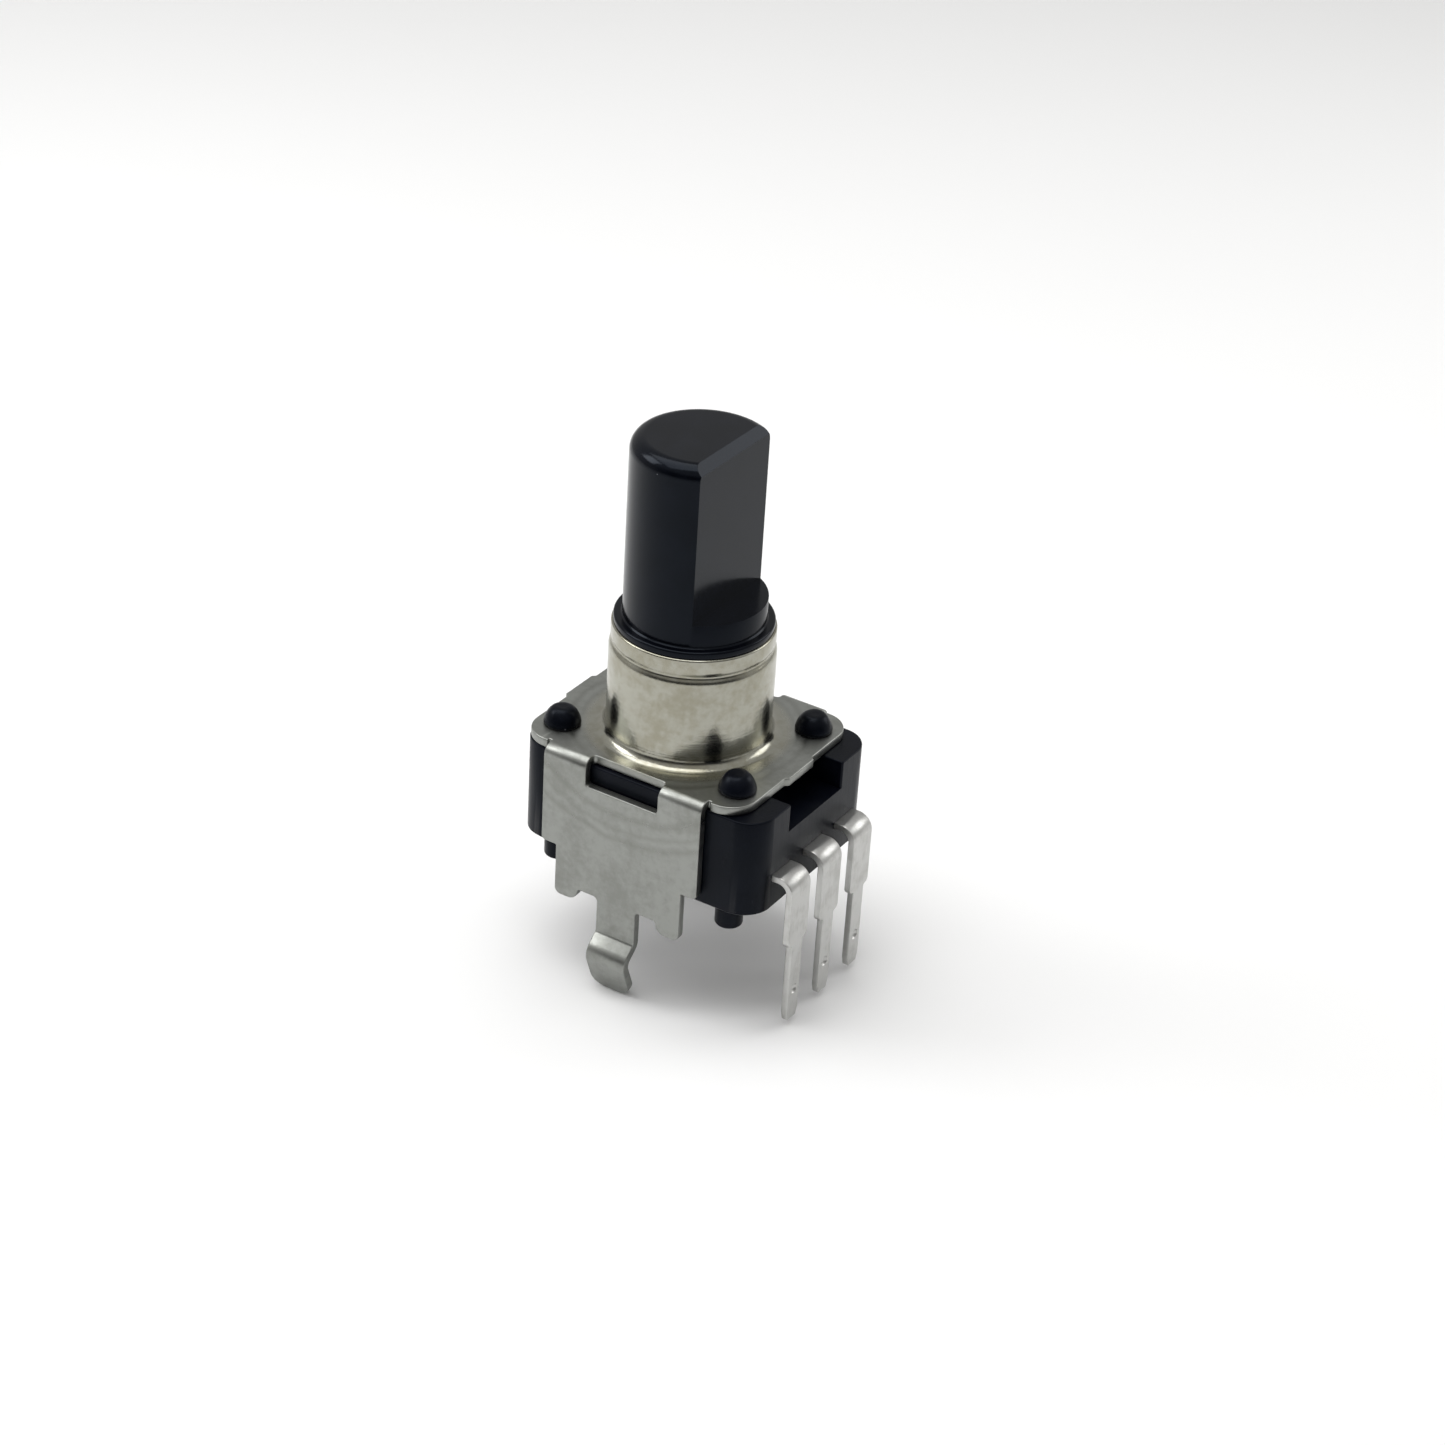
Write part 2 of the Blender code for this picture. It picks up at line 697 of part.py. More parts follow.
def add_shaft():
    top = PLATE_TOP + BUSHING_HEIGHT + GAP
    shoulder = PLATE_TOP - SHEET + GAP
    collar_top = top + COLLAR_HEIGHT
    fillet = SHAFT_TIP_FILLET
    profile = [
        (0, SHAFT_TIP_Z),
        *reversed(arc((SHAFT_RADIUS - fillet, SHAFT_TIP_Z - fillet), fillet, 0, 90, 5)),
        (SHAFT_RADIUS, collar_top),
        (COLLAR_RADIUS - 0.08, collar_top),
        (COLLAR_RADIUS, collar_top - 0.08),
        (COLLAR_RADIUS, top),
        (JOURNAL_RADIUS, top),
        (JOURNAL_RADIUS, shoulder),
        (SPIGOT_RADIUS, shoulder),
        (SPIGOT_RADIUS, SPIGOT_END_Z),
        (0, SPIGOT_END_Z),
    ]
    shaft = turned("shaft", profile, SHAFT_RESIN)
    corner_radius = HEX_ACROSS_FLATS / 2 / math.cos(math.pi / 6)
    unite(shaft, prism("drive_hex", corner_radius, HEX_END_Z, shoulder + 0.5, 6, turn=HEX_TURN))
    flat = box(
        "shaft_flat",
        (-SHAFT_RADIUS - 1, -SHAFT_RADIUS - 1, FLAT_BOTTOM_Z),
        (SHAFT_RADIUS + 1, -FLAT_FROM_AXIS, SHAFT_TIP_Z + 1),
    )
    cut(shaft, flat)


def detent_height(x, y):
    """Drop of the rotor's rim at a point: a smooth wave with one valley a detent."""
    wave = 0.5 + 0.5 * math.cos(DETENTS * math.atan2(x, -y))
    return DETENT_DEPTH * wave


def add_rotor():
    """Disc with a waved rim, a hub for the shaft's hexagon and a nose below."""
    bottom = DISC_BOTTOM_Z + DISC_SHEET + GAP
    profile = [
        (1.0, ROTOR_HUB_TOP_Z),
        (ROTOR_HUB_RADIUS, ROTOR_HUB_TOP_Z),
        (ROTOR_HUB_RADIUS, ROTOR_TOP_Z - DETENT_DEPTH),
        (DETENT_INNER_RADIUS, ROTOR_TOP_Z - DETENT_DEPTH),
        (DETENT_INNER_RADIUS, ROTOR_TOP_Z),
        (ROTOR_RADIUS, ROTOR_TOP_Z),
        (ROTOR_RADIUS, bottom),
        (ROTOR_NOSE_RADIUS, bottom),
        (ROTOR_NOSE_RADIUS, DISC_BOTTOM_Z),
        (1.0, DISC_BOTTOM_Z),
    ]
    blank = turned("rotor_blank", profile, steps=4 * DETENTS)
    bpy.context.view_layer.update()
    mesh = evaluated_mesh(blank)
    mesh.name = "rotor"
    rim = ROTOR_TOP_Z * MM
    for vert in mesh.vertices:
        if abs(vert.co.z - rim) < WELD:
            vert.co.z -= detent_height(vert.co.x, vert.co.y) * MM
    rotor = add_object("rotor", mesh, ROTOR_RESIN)
    corner_radius = (HEX_ACROSS_FLATS / 2 + 2 * GAP) / math.cos(math.pi / 6)
    socket_z = HEX_END_Z - 2 * GAP
    hexagon = prism("hex_socket", corner_radius, socket_z, BODY_TOP_Z + 1, 6, turn=HEX_TURN)
    cut(rotor, hexagon)
    shade_round(mesh)


def add_code_disc():
    """Common ring with one conducting finger for each pulse."""
    outline = []
    pitch = 360 / PULSES
    for pulse in range(PULSES):
        start = pulse * pitch
        outline += arc((0, 0), DISC_RADIUS, start, start + pitch / 2, 3)
        outline += arc((0, 0), COMMON_RING_RADIUS, start + pitch / 2, start + pitch, 2)
    bore = circle((0, 0), DISC_BORE, 32)
    mesh = plate_mesh("code_disc", [outline, bore], DISC_BOTTOM_Z, DISC_BOTTOM_Z + DISC_SHEET)
    add_object("code_disc", mesh, SILVERED)


def add_retaining_ring():
    """Push-on ring under the rotor's nose that holds the shaft down."""
    top = DISC_BOTTOM_Z - GAP
    ring = [circle((0, 0), RING_OUTER, 32), circle((0, 0), SPIGOT_RADIUS + 0.01, 32)]
    mesh = plate_mesh("retaining_ring", ring, top - RING_SHEET, top)
    add_object("retaining_ring", mesh, SPRING_STEEL)
    shade_round(mesh)


def add_click_spring():
    """Flat annular leaf with two bumps that press towards the rotor's waved rim."""
    top = BODY_TOP_Z - GAP
    tabs = click_tabs("click_tabs", 0.0, top - CLICK_SHEET, top)
    centre_hole = prism("click_centre", CLICK_OUTER - 0.3, top - 1, top + 1)
    cut(tabs, centre_hole)
    profile = [
        (CLICK_INNER, top),
        (CLICK_OUTER, top),
        (CLICK_OUTER, top - CLICK_SHEET),
        (CLICK_INNER, top - CLICK_SHEET),
    ]
    blank = turned("click_blank", profile, steps=72)
    bpy.context.view_layer.update()
    mesh = evaluated_mesh(blank)
    mesh.name = "click_spring"
    for vert in mesh.vertices:
        angle = math.atan2(vert.co.y, abs(vert.co.x))
        if abs(angle) < CLICK_BUMP_ANGLE / 2:
            share = 0.5 + 0.5 * math.cos(2 * math.pi * angle / CLICK_BUMP_ANGLE)
            vert.co.z -= CLICK_DROP * share * MM
    spring = add_object("click_spring", mesh, SPRING_STEEL)
    unite(spring, tabs)
    shade_round(mesh)


# -------------------------------------------------------------------- assembly


def main():
    add_bracket()
    add_housing()
    add_base()
    for name, x, foot_y, contact_y in (
        ("a", -PITCH, SIGNAL_FOOT_Y, SIGNAL_CONTACT_Y),
        ("common", 0, COMMON_FOOT_Y, COMMON_CONTACT_Y),
        ("b", PITCH, SIGNAL_FOOT_Y, SIGNAL_CONTACT_Y),
    ):
        add_terminal("terminal_" + name, x)
        add_brush("brush_" + name, x, foot_y, contact_y)
    add_shaft()
    add_rotor()
    add_code_disc()
    add_retaining_ring()
    add_click_spring()
    bpy.context.view_layer.update()


main()
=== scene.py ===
"""Looks of a small incremental rotary encoder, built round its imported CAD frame.

Lengths are in millimetres unless a name or a docstring says metres. The frame is the
part's own: +Z along the shaft, z = 0 on the board, the terminals towards -Y and the
bracket's legs at -X and +X.
"""

import logging
import math
from dataclasses import dataclass
from enum import Enum
from typing import Sequence, Union

import bmesh
import bpy
from bmesh.types import BMesh
from bpy.types import ID, Material, Mesh, Node, NodeSocket, NodeTree, Object
from mathutils import Matrix, Vector


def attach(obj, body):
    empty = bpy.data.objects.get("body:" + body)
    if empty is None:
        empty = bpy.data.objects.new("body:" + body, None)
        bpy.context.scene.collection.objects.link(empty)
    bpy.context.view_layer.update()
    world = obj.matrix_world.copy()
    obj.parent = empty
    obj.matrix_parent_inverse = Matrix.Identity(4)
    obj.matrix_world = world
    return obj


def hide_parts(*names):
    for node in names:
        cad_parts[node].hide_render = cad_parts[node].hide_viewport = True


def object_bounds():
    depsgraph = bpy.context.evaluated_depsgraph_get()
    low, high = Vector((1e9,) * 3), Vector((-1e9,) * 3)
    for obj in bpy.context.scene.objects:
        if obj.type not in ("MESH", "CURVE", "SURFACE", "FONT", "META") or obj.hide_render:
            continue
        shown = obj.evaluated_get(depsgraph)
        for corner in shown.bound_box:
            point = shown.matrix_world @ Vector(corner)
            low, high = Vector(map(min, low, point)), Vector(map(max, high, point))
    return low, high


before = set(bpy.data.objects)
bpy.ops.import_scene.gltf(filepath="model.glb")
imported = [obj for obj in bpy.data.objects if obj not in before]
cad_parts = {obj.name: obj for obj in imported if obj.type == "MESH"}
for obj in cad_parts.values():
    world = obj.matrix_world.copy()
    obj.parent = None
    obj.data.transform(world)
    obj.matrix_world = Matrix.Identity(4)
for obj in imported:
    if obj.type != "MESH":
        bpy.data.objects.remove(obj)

LOG = logging.getLogger("rotary_encoder")
CAD_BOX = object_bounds()
MM = 0.001
WELD = 1e-7
GAP = 0.02
PLATE_TOP = 7.0
HALF_X = 4.55
CORNER = 1.25
STAKE = (3.0, 4.35)
STAKES = [(x, y) for x in (-STAKE[0], STAKE[0]) for y in (-STAKE[1], STAKE[1])]
HEX_TURN = math.radians(4)
COPLANAR = math.radians(0.1)
EASED_TURN = math.radians(40)
SHARP_TURN = math.radians(50)

Point = tuple[float, float]
Colour = tuple[float, float, float]
Scalar = Union[float, "Value"]
Link = Union["Value", Node, NodeSocket]


class Body(Enum):
    """The two rigid bodies of the encoder."""

    FRAME = "frame"
    SPINDLE = "spindle"


class Carve(Enum):
    """What a tool solid does to the solid it meets."""

    CUT = "DIFFERENCE"
    JOIN = "UNION"


# ---- nodes and sockets


class Value:
    """A number that flows through a node tree, and that Python's operators act on."""

    def __init__(self, graph: "Graph", socket: NodeSocket) -> None:
        """Hold one output socket of a graph."""
        self.graph = graph
        self.socket = socket

    def _math(self, operation: str, *terms: Scalar) -> "Value":
        """The result of one Math node on some terms, in the node's order."""
        inputs = dict(enumerate(terms))
        return self.graph.value("ShaderNodeMath", {"operation": operation}, inputs)

    def __add__(self, other: Scalar) -> "Value":
        """Sum."""
        return self._math("ADD", self, other)

    def __sub__(self, other: Scalar) -> "Value":
        """Difference."""
        return self._math("SUBTRACT", self, other)

    def __rsub__(self, other: float) -> "Value":
        """Difference from a number."""
        return self._math("SUBTRACT", other, self)

    def __mul__(self, other: Scalar) -> "Value":
        """Product."""
        return self._math("MULTIPLY", self, other)

    def __truediv__(self, other: Scalar) -> "Value":
        """Quotient."""
        return self._math("DIVIDE", self, other)

    def __pow__(self, other: Scalar) -> "Value":
        """Power."""
        return self._math("POWER", self, other)

    def __neg__(self) -> "Value":
        """The value with its sign changed."""
        return self * -1.0

    __radd__ = __add__
    __rmul__ = __mul__

    def cosine(self) -> "Value":
        """Cosine of the value, in radians."""
        return self._math("COSINE", self)

    def angle_to(self, other: Scalar) -> "Value":
        """Angle whose tangent is this value over the other."""
        return self._math("ARCTAN2", self, other)

    def over(self, limit: float) -> "Value":
        """One where the value is above a limit, and nought elsewhere."""
        return self._math("GREATER_THAN", self, limit)

    def ramp(self, start: float, end: float) -> "Value":
        """Ease from nought at one value to one at another, which may be the lower."""
        inputs = {"Value": self, "From Min": start, "From Max": end}
        return self.graph.value("ShaderNodeMapRange", {"interpolation_type": "SMOOTHSTEP"}, inputs)


class Graph:
    """A node tree with one way to add any node."""

    def __init__(self, tree: NodeTree) -> None:
        """Start from a tree, with its own nodes removed."""
        self.tree = tree
        self.tree.nodes.clear()

    def node(self, kind: str, settings: dict | None = None, inputs: dict | None = None) -> Node:
        """Add a node, set what it is, then fill its sockets.

        Args:
            kind: The node's type.
            settings: Properties of the node, set before its sockets.
            inputs: Numbers, links, or nodes for their first output, by socket.

        Returns:
            The new node.
        """
        made = self.tree.nodes.new(kind)
        for key, value in (settings or {}).items():
            setattr(made, key, value)
        for key, value in (inputs or {}).items():
            if isinstance(value, Value):
                value = value.socket
            elif isinstance(value, Node):
                value = value.outputs[0]
            if isinstance(value, NodeSocket):
                self.tree.links.new(value, made.inputs[key])
            else:
                made.inputs[key].default_value = value
        return made

    def value(self, kind: str, settings: dict | None = None, inputs: dict | None = None) -> Value:
        """Add a node and take its first output as a number."""
        return Value(self, self.node(kind, settings, inputs).outputs[0])

    def split(self, vector: Link) -> list[Value]:
        """The three parts of a vector."""
        parts = self.node("ShaderNodeSeparateXYZ", None, {0: vector})
        return [Value(self, output) for output in parts.outputs]

    def scaled(self, vector: Link, by: Sequence[float]) -> Node:
        """A vector with each part multiplied by its own number."""
        return self.node("ShaderNodeVectorMath", {"operation": "MULTIPLY"}, {0: vector, 1: by})

    def noise(self, vector: Link, scale: float, detail: float = 2.0, soft: float = 0.5) -> Value:
        """Smooth noise.

        Args:
            vector: Where it is read, in millimetres.
            scale: Features in a millimetre.
            detail: Octaves.
            soft: Share that each octave keeps.

        Returns:
            Values round one half.
        """
        inputs = {"Vector": vector, "Scale": scale, "Detail": detail, "Roughness": soft}
        return self.value("ShaderNodeTexNoise", None, inputs)

    def bands(self, along: Value, scale: float) -> Value:
        """Noise that changes along one value only, as fine parallel lines do."""
        inputs = {"W": along, "Scale": scale, "Detail": 3.0, "Roughness": 0.6}
        return self.value("ShaderNodeTexNoise", {"noise_dimensions": "1D"}, inputs)


class Surface(Graph):
    """The node tree of one material."""

    def __init__(self, slot: str) -> None:
        """Make a slot's material with an empty tree, and find its places in millimetres."""
        self.material = bpy.data.materials.new(slot + "_look")
        self.material.use_nodes = True
        super().__init__(self.material.node_tree)
        coordinates = self.node("ShaderNodeTexCoord").outputs["Object"]
        self.place = self.scaled(coordinates, (1 / MM,) * 3)

    def mix(self, share: Value, first: "Colour | Link", second: "Colour | Link") -> NodeSocket:
        """A colour between two, by a share."""
        low, high = ((*end, 1.0) if isinstance(end, tuple) else end for end in (first, second))
        made = self.node("ShaderNodeMix", {"data_type": "RGBA"}, {0: share, 6: low, 7: high})
        return made.outputs[2]

    def bump(self, height: Value, depth: float) -> Node:
        """A normal from a height of nought to one, where one is a depth in millimetres."""
        return self.node("ShaderNodeBump", None, {"Height": height, "Distance": depth * MM})

    def close(self, inputs: dict) -> Material:
        """End the tree in one shader and give back its material."""
        shader = self.node("ShaderNodeBsdfPrincipled", None, inputs)
        self.node("ShaderNodeOutputMaterial", None, {"Surface": shader})
        return self.material


# ---- finishes


@dataclass(frozen=True)
class PlatedSteel:
    """Nickel-plated steel sheet, satin where rolled, bright and warmer where it was drawn.

    Each ring is a band round the middle of the blank, given as its radius on the blank, its half width
    and its strength; the bands darken the colour, lower the roughness and raise the bump.
    """

    slot: str = "plated_steel"
    colour: Colour = (0.310, 0.318, 0.300)
    stain: Colour = (0.215, 0.220, 0.202)
    drawn_colour: Colour = (0.375, 0.371, 0.320)
    drawn_stain: Colour = (0.300, 0.288, 0.228)
    roughness: float = 0.37
    drawn_roughness: float = 0.20
    drawn_radius: float = 4.3
    rings: tuple[tuple[float, float, float], ...] = (
        (4.45, 0.20, 0.5), (4.95, 0.25, 0.6), (6.80, 0.34, 1.0),
        (7.45, 0.22, 0.6), (7.95, 0.30, 0.9),
    )
    rolling: tuple[float, float, float] = (26.0, 3.0, 1.0)
    grain_depth: float = 0.0035

    def material(self) -> Material:
        """Build the material: mottled plating, rolling grain and ring bands round the blank's middle.
        """
        surface = Surface(self.slot)
        x, y, z = surface.split(surface.place)
        near = ((x * x + y * y) ** 0.5).ramp(self.drawn_radius + 0.3, self.drawn_radius - 0.25)
        drawn = near * z.ramp(PLATE_TOP - 0.3, PLATE_TOP + 0.1)
        blank = surface.node("ShaderNodeUVMap", {"uv_map": "blank"})
        u, v, _ = surface.split(blank)
        wander = surface.noise(surface.place, 0.5, 2.0)
        reach = (u * u + v * v) ** 0.5 + (wander - 0.5) * 0.5
        ring = sum(
            reach.ramp(middle - half, middle) * reach.ramp(middle + half, middle) * share
            for middle, half, share in self.rings
        )
        fine = surface.bands(reach, 6.0)
        blotch = surface.noise(surface.place, 0.55, 3.0, 0.6)
        mottle = surface.noise(surface.place, 2.6, 4.0, 0.65)
        grain = surface.noise(surface.scaled(blank, self.rolling), 1.0, 3.0)
        pits = surface.noise(surface.place, 14.0, 2.0)
        worn = (blotch * 0.55 + mottle * 0.45).ramp(0.40, 0.64)
        marked = worn * 0.6 * (1 - ring * 0.5) + ring * (0.45 + fine * 0.35)
        sheet = surface.mix(marked, self.colour, self.stain)
        neck = surface.mix(worn, self.drawn_colour, self.drawn_stain)
        smoother = drawn * (self.roughness - self.drawn_roughness)
        height = (
            grain * (1 - drawn) * 0.45
            + pits * (1.2 - drawn) * 0.35
            + ring * (2.6 + fine)
            + surface.bands(z, 3.0) * drawn * 1.6
            + mottle * (drawn * 2.2 + 0.5)
        )
        return surface.close({
            "Base Color": surface.mix(drawn, sheet, neck),
            "Metallic": 1.0,
            "Roughness": self.roughness - smoother + (mottle - 0.5) * 0.18 - ring * 0.09,
            "Normal": surface.bump(height, self.grain_depth),
        })


@dataclass(frozen=True)
class RolledMetal:
    """Thin rolled strip with streaks along one axis, plated or bare."""

    slot: str
    colour: Colour
    stain: Colour
    roughness: float
    streaks: tuple[float, float, float] = (14.0, 14.0, 1.2)
    depth: float = 0.002

    def material(self) -> Material:
        """Build the material: lengthwise streaks over a slow stain."""
        surface = Surface(self.slot)
        streak = surface.noise(surface.scaled(surface.place, self.streaks), 1.0, 3.0, 0.6)
        cloud = surface.noise(surface.place, 1.3, 3.0, 0.6)
        stained = (cloud * 0.7 + streak * 0.3).ramp(0.44, 0.68)
        return surface.close({
            "Base Color": surface.mix(stained, self.colour, self.stain),
            "Metallic": 1.0,
            "Roughness": self.roughness + (streak - 0.5) * 0.22 + (cloud - 0.5) * 0.12,
            "Normal": surface.bump(streak, self.depth),
        })


@dataclass(frozen=True)
class MouldedResin:
    """Filled moulding resin: fine mould texture, flow clouds and a few dust specks."""

    slot: str
    colour: Colour
    cloud: Colour
    speck: Colour
    roughness: float
    texture: float = 0.004
    scuffs: tuple[float, float, float] = (9.0, 9.0, 0.8)
    speck_share: float = 0.055
    gloss: float = 0.5
    tint: Colour = (1.0, 1.0, 1.0)

    def material(self) -> Material:
        """Build the material: base tone, flow marks, scuffs, specks and texture."""
        surface = Surface(self.slot)
        flow = surface.noise(surface.place, 0.7, 3.0, 0.6)
        scuff = surface.noise(surface.scaled(surface.place, self.scuffs), 1.0, 2.0)
        fine = surface.noise(surface.place, 16.0, 2.0)
        cells = surface.node("ShaderNodeTexVoronoi", None, {"Vector": surface.place, "Scale": 1.7})
        near = Value(surface, cells.outputs["Distance"])
        chance = surface.split(cells.outputs["Color"])[0]
        specks = near.ramp(self.speck_share, self.speck_share * 0.5) * chance.over(0.72)
        tone = surface.mix(flow.ramp(0.35, 0.7), self.colour, self.cloud)
        return surface.close({
            "Base Color": surface.mix(specks, tone, self.speck),
            "Roughness": self.roughness + (flow - 0.5) * 0.12 + (scuff - 0.5) * 0.16,
            "Specular IOR Level": self.gloss,
            "Specular Tint": (*self.tint, 1.0),
            "Normal": surface.bump(fine * 0.7 + scuff * 0.6 + specks, self.texture),
        })


Finish = Union[PlatedSteel, RolledMetal, MouldedResin]

PLATED_STEEL = PlatedSteel()
TINNED_BRASS = RolledMetal(
    "tinned_brass", (0.53, 0.53, 0.515), (0.44, 0.438, 0.42), 0.34, depth=0.0009
)
SILVERED_BRASS = RolledMetal("silvered_brass", (0.82, 0.80, 0.74), (0.70, 0.66, 0.55), 0.22)
SPRING_STEEL = RolledMetal(
    "spring_steel", (0.56, 0.56, 0.57), (0.44, 0.43, 0.42), 0.26, (1.2, 14.0, 14.0)
)
BRONZE = RolledMetal(
    "phosphor_bronze", (0.66, 0.40, 0.22), (0.50, 0.28, 0.15), 0.28, (14.0, 1.2, 14.0)
)
BLACK_RESIN = MouldedResin(
    "black_resin", (0.0010, 0.0014, 0.0032), (0.0024, 0.0030, 0.0060), (0.20, 0.20, 0.23), 0.32,
    gloss=0.12, tint=(0.74, 0.84, 1.0),
)
SHAFT_RESIN = MouldedResin(
    "shaft_resin", (0.0010, 0.0014, 0.0028), (0.0024, 0.0030, 0.0055), (0.24, 0.25, 0.27), 0.17,
    texture=0.0012, scuffs=(10.0, 10.0, 0.6), speck_share=0.04, gloss=0.15, tint=(0.72, 0.83, 1.0),
)
ROTOR_RESIN = MouldedResin(
    "rotor_resin", (0.74, 0.72, 0.65), (0.66, 0.64, 0.56), (0.50, 0.47, 0.40), 0.42,
    speck_share=0.03,
)


def look_of(finish: Finish) -> Material:
    """The finish's material, built the first time it is asked for."""
    return bpy.data.materials.get(finish.slot + "_look") or finish.material()


# ---- shaping tools


def arc(centre: Point, radius: float, start: float, end: float, steps: int) -> list[Point]:
    """Points of an arc.

    Args:
        centre: Middle of the arc.
        radius: Its radius.
        start: First angle, in degrees.
        end: Last angle, in degrees.
        steps: Number of chords.

    Returns:
        The points, both ends included.
    """
    angles = [math.radians(start + (end - start) * i / steps) for i in range(steps + 1)]
    return [(centre[0] + radius * math.cos(a), centre[1] + radius * math.sin(a)) for a in angles]


def circle(centre: Point, radius: float, steps: int) -> list[Point]:
    """Points of a full circle, from its +X side."""
    return arc(centre, radius, 0, 360, steps)[:-1]


def soften(points: Sequence[Point], radius: float, steps: int = 3) -> list[Point]:
    """Round the sharp corners of a closed outline.

    Args:
        points: The outline.
        radius: Radius of each corner, made smaller where an edge is short.
        steps: Chords in each corner.

    Returns:
        The outline with curves in place of turns of more than 25 degrees.
    """
    made = []
    for i, here in enumerate(points):
        corner = Vector(here)
        before = Vector(points[i - 1]) - corner
        after = Vector(points[(i + 1) % len(points)]) - corner
        turn = math.pi - before.angle(after)
        if turn < math.radians(25):
            made.append(here)
            continue
        room = min(before.length, after.length) * 0.45
        reach = min(radius * math.tan(turn / 2), room)
        first = corner + before.normalized() * reach
        last = corner + after.normalized() * reach
        for step in range(steps + 1):
            t = step / steps
            bend = first * (1 - t) ** 2 + corner * (2 * t * (1 - t)) + last * t * t
            made.append((bend.x, bend.y))
    return made


def rectangle(low: Point, high: Point, radius: float) -> list[Point]:
    """Outline of a rectangle with four round corners."""
    return soften([high, (low[0], high[1]), low, (high[0], low[1])], radius, 6)


def opened(mesh: Mesh) -> BMesh:
    """A working copy of a mesh."""
    work = bmesh.new()
    work.from_mesh(mesh)
    return work


def written(work: BMesh, mesh: Mesh) -> Mesh:
    """A real mesh, filled from a working one that is used up."""
    work.to_mesh(mesh)
    work.free()
    return mesh


def new_mesh(name: str, work: BMesh) -> Mesh:
    """Turn a working mesh into a real one, with its faces outwards."""
    bmesh.ops.remove_doubles(work, verts=work.verts, dist=WELD)
    bmesh.ops.recalc_face_normals(work, faces=work.faces)
    return written(work, bpy.data.meshes.new(name))


def workpiece(name: str, data: ID) -> Object:
    """An object to work on, linked to the scene."""
    obj = bpy.data.objects.new(name, data)
    bpy.context.scene.collection.objects.link(obj)
    return obj


def baked(obj: Object) -> Mesh:
    """The plain mesh that an object comes to, in place, with the object removed."""
    bpy.context.view_layer.update()
    graph = bpy.context.evaluated_depsgraph_get()
    mesh = bpy.data.meshes.new_from_object(obj.evaluated_get(graph))
    mesh.transform(obj.matrix_world)
    bpy.data.objects.remove(obj, do_unlink=True)
    return mesh


def modified(mesh: Mesh, kind: str, **settings: object) -> Mesh:
    """The mesh that one modifier makes of another.

    Args:
        mesh: What goes in.
        kind: The modifier's type.
        settings: The modifier's properties.

    Returns:
        What comes out.
    """
    obj = workpiece(mesh.name, mesh)
    modifier = obj.modifiers.new(kind, kind)
    for key, value in settings.items():
        setattr(modifier, key, value)
    return baked(obj)


def lathe(name: str, profile: Sequence[Point], steps: int, closed: bool = False) -> Mesh:
    """Turn a profile about Z.

    Args:
        name: Name of the mesh.
        profile: Points of radius and height; a radius of nought makes a pole.
        steps: Facets round the axis.
        closed: Whether the last point joins the first.

    Returns:
        The turned mesh.
    """
    work = bmesh.new()
    rings = []
    for radius, z in profile:
        places = circle((0.0, 0.0), radius, steps) if radius > 0 else [(0.0, 0.0)]
        rings.append([work.verts.new((x * MM, y * MM, z * MM)) for x, y in places])
    for upper, lower in zip(rings, rings[1:] + (rings[:1] if closed else [])):
        for i in range(steps):
            places = ((upper, i), (upper, i + 1), (lower, i + 1), (lower, i))
            corners = list(dict.fromkeys(ring[at % len(ring)] for ring, at in places))
            if len(corners) > 2:
                work.faces.new(corners)
    return new_mesh(name, work)


def slab(
    name: str, outlines: Sequence[Sequence[Point]], low: float, high: float, edge: float
) -> Mesh:
    """A flat plate with its rims rounded.

    Args:
        name: Name of the mesh.
        outlines: The outer outline, then any holes.
        low: Height of its underside.
        high: Height of its top.
        edge: Radius of the rims.

    Returns:
        A closed mesh.
    """
    curve = bpy.data.curves.new(name, "CURVE")
    curve.dimensions = "2D"
    curve.fill_mode = "BOTH"
    curve.extrude = ((high - low) / 2 - edge) * MM
    curve.bevel_depth = edge * MM
    curve.bevel_resolution = 1
    curve.offset = -edge * MM
    for outline in outlines:
        spline = curve.splines.new("POLY")
        spline.points.add(len(outline) - 1)
        for point, (x, y) in zip(spline.points, outline):
            point.co = (x * MM, y * MM, 0, 1)
        spline.use_cyclic_u = True
    obj = workpiece(name, curve)
    obj.location.z = (low + high) / 2 * MM
    return new_mesh(name, opened(baked(obj)))


def block(
    name: str, low: Sequence[float], high: Sequence[float], turn: Matrix | None = None
) -> Object:
    """A box between two corners, to carve with.

    Args:
        name: Name of the object.
        low: Its lowest corner.
        high: Its highest corner.
        turn: A rotation about the box's own centre.

    Returns:
        The box, as an object.
    """
    low, high = Vector(low) * MM, Vector(high) * MM
    work = bmesh.new()
    bmesh.ops.create_cube(work, size=1.0)
    bmesh.ops.scale(work, vec=high - low, verts=work.verts)
    if turn:
        bmesh.ops.transform(work, matrix=turn, verts=work.verts)
    bmesh.ops.translate(work, vec=(low + high) / 2, verts=work.verts)
    return workpiece(name, new_mesh(name, work))


def hexagon(name: str, flats: float, low: float, high: float) -> Object:
    """A six-sided prism on the axis, to carve with.

    Args:
        name: Name of the object.
        flats: Distance across its flats.
        low: Height of its lower end.
        high: Height of its upper end.

    Returns:
        The prism, as an object.
    """
    corner = flats / 2 / math.cos(math.pi / 6)
    prism = lathe(name, [(0.0, low), (corner, low), (corner, high), (0.0, high)], 6)
    prism.transform(Matrix.Rotation(HEX_TURN, 4, "Z"))
    return workpiece(name, prism)


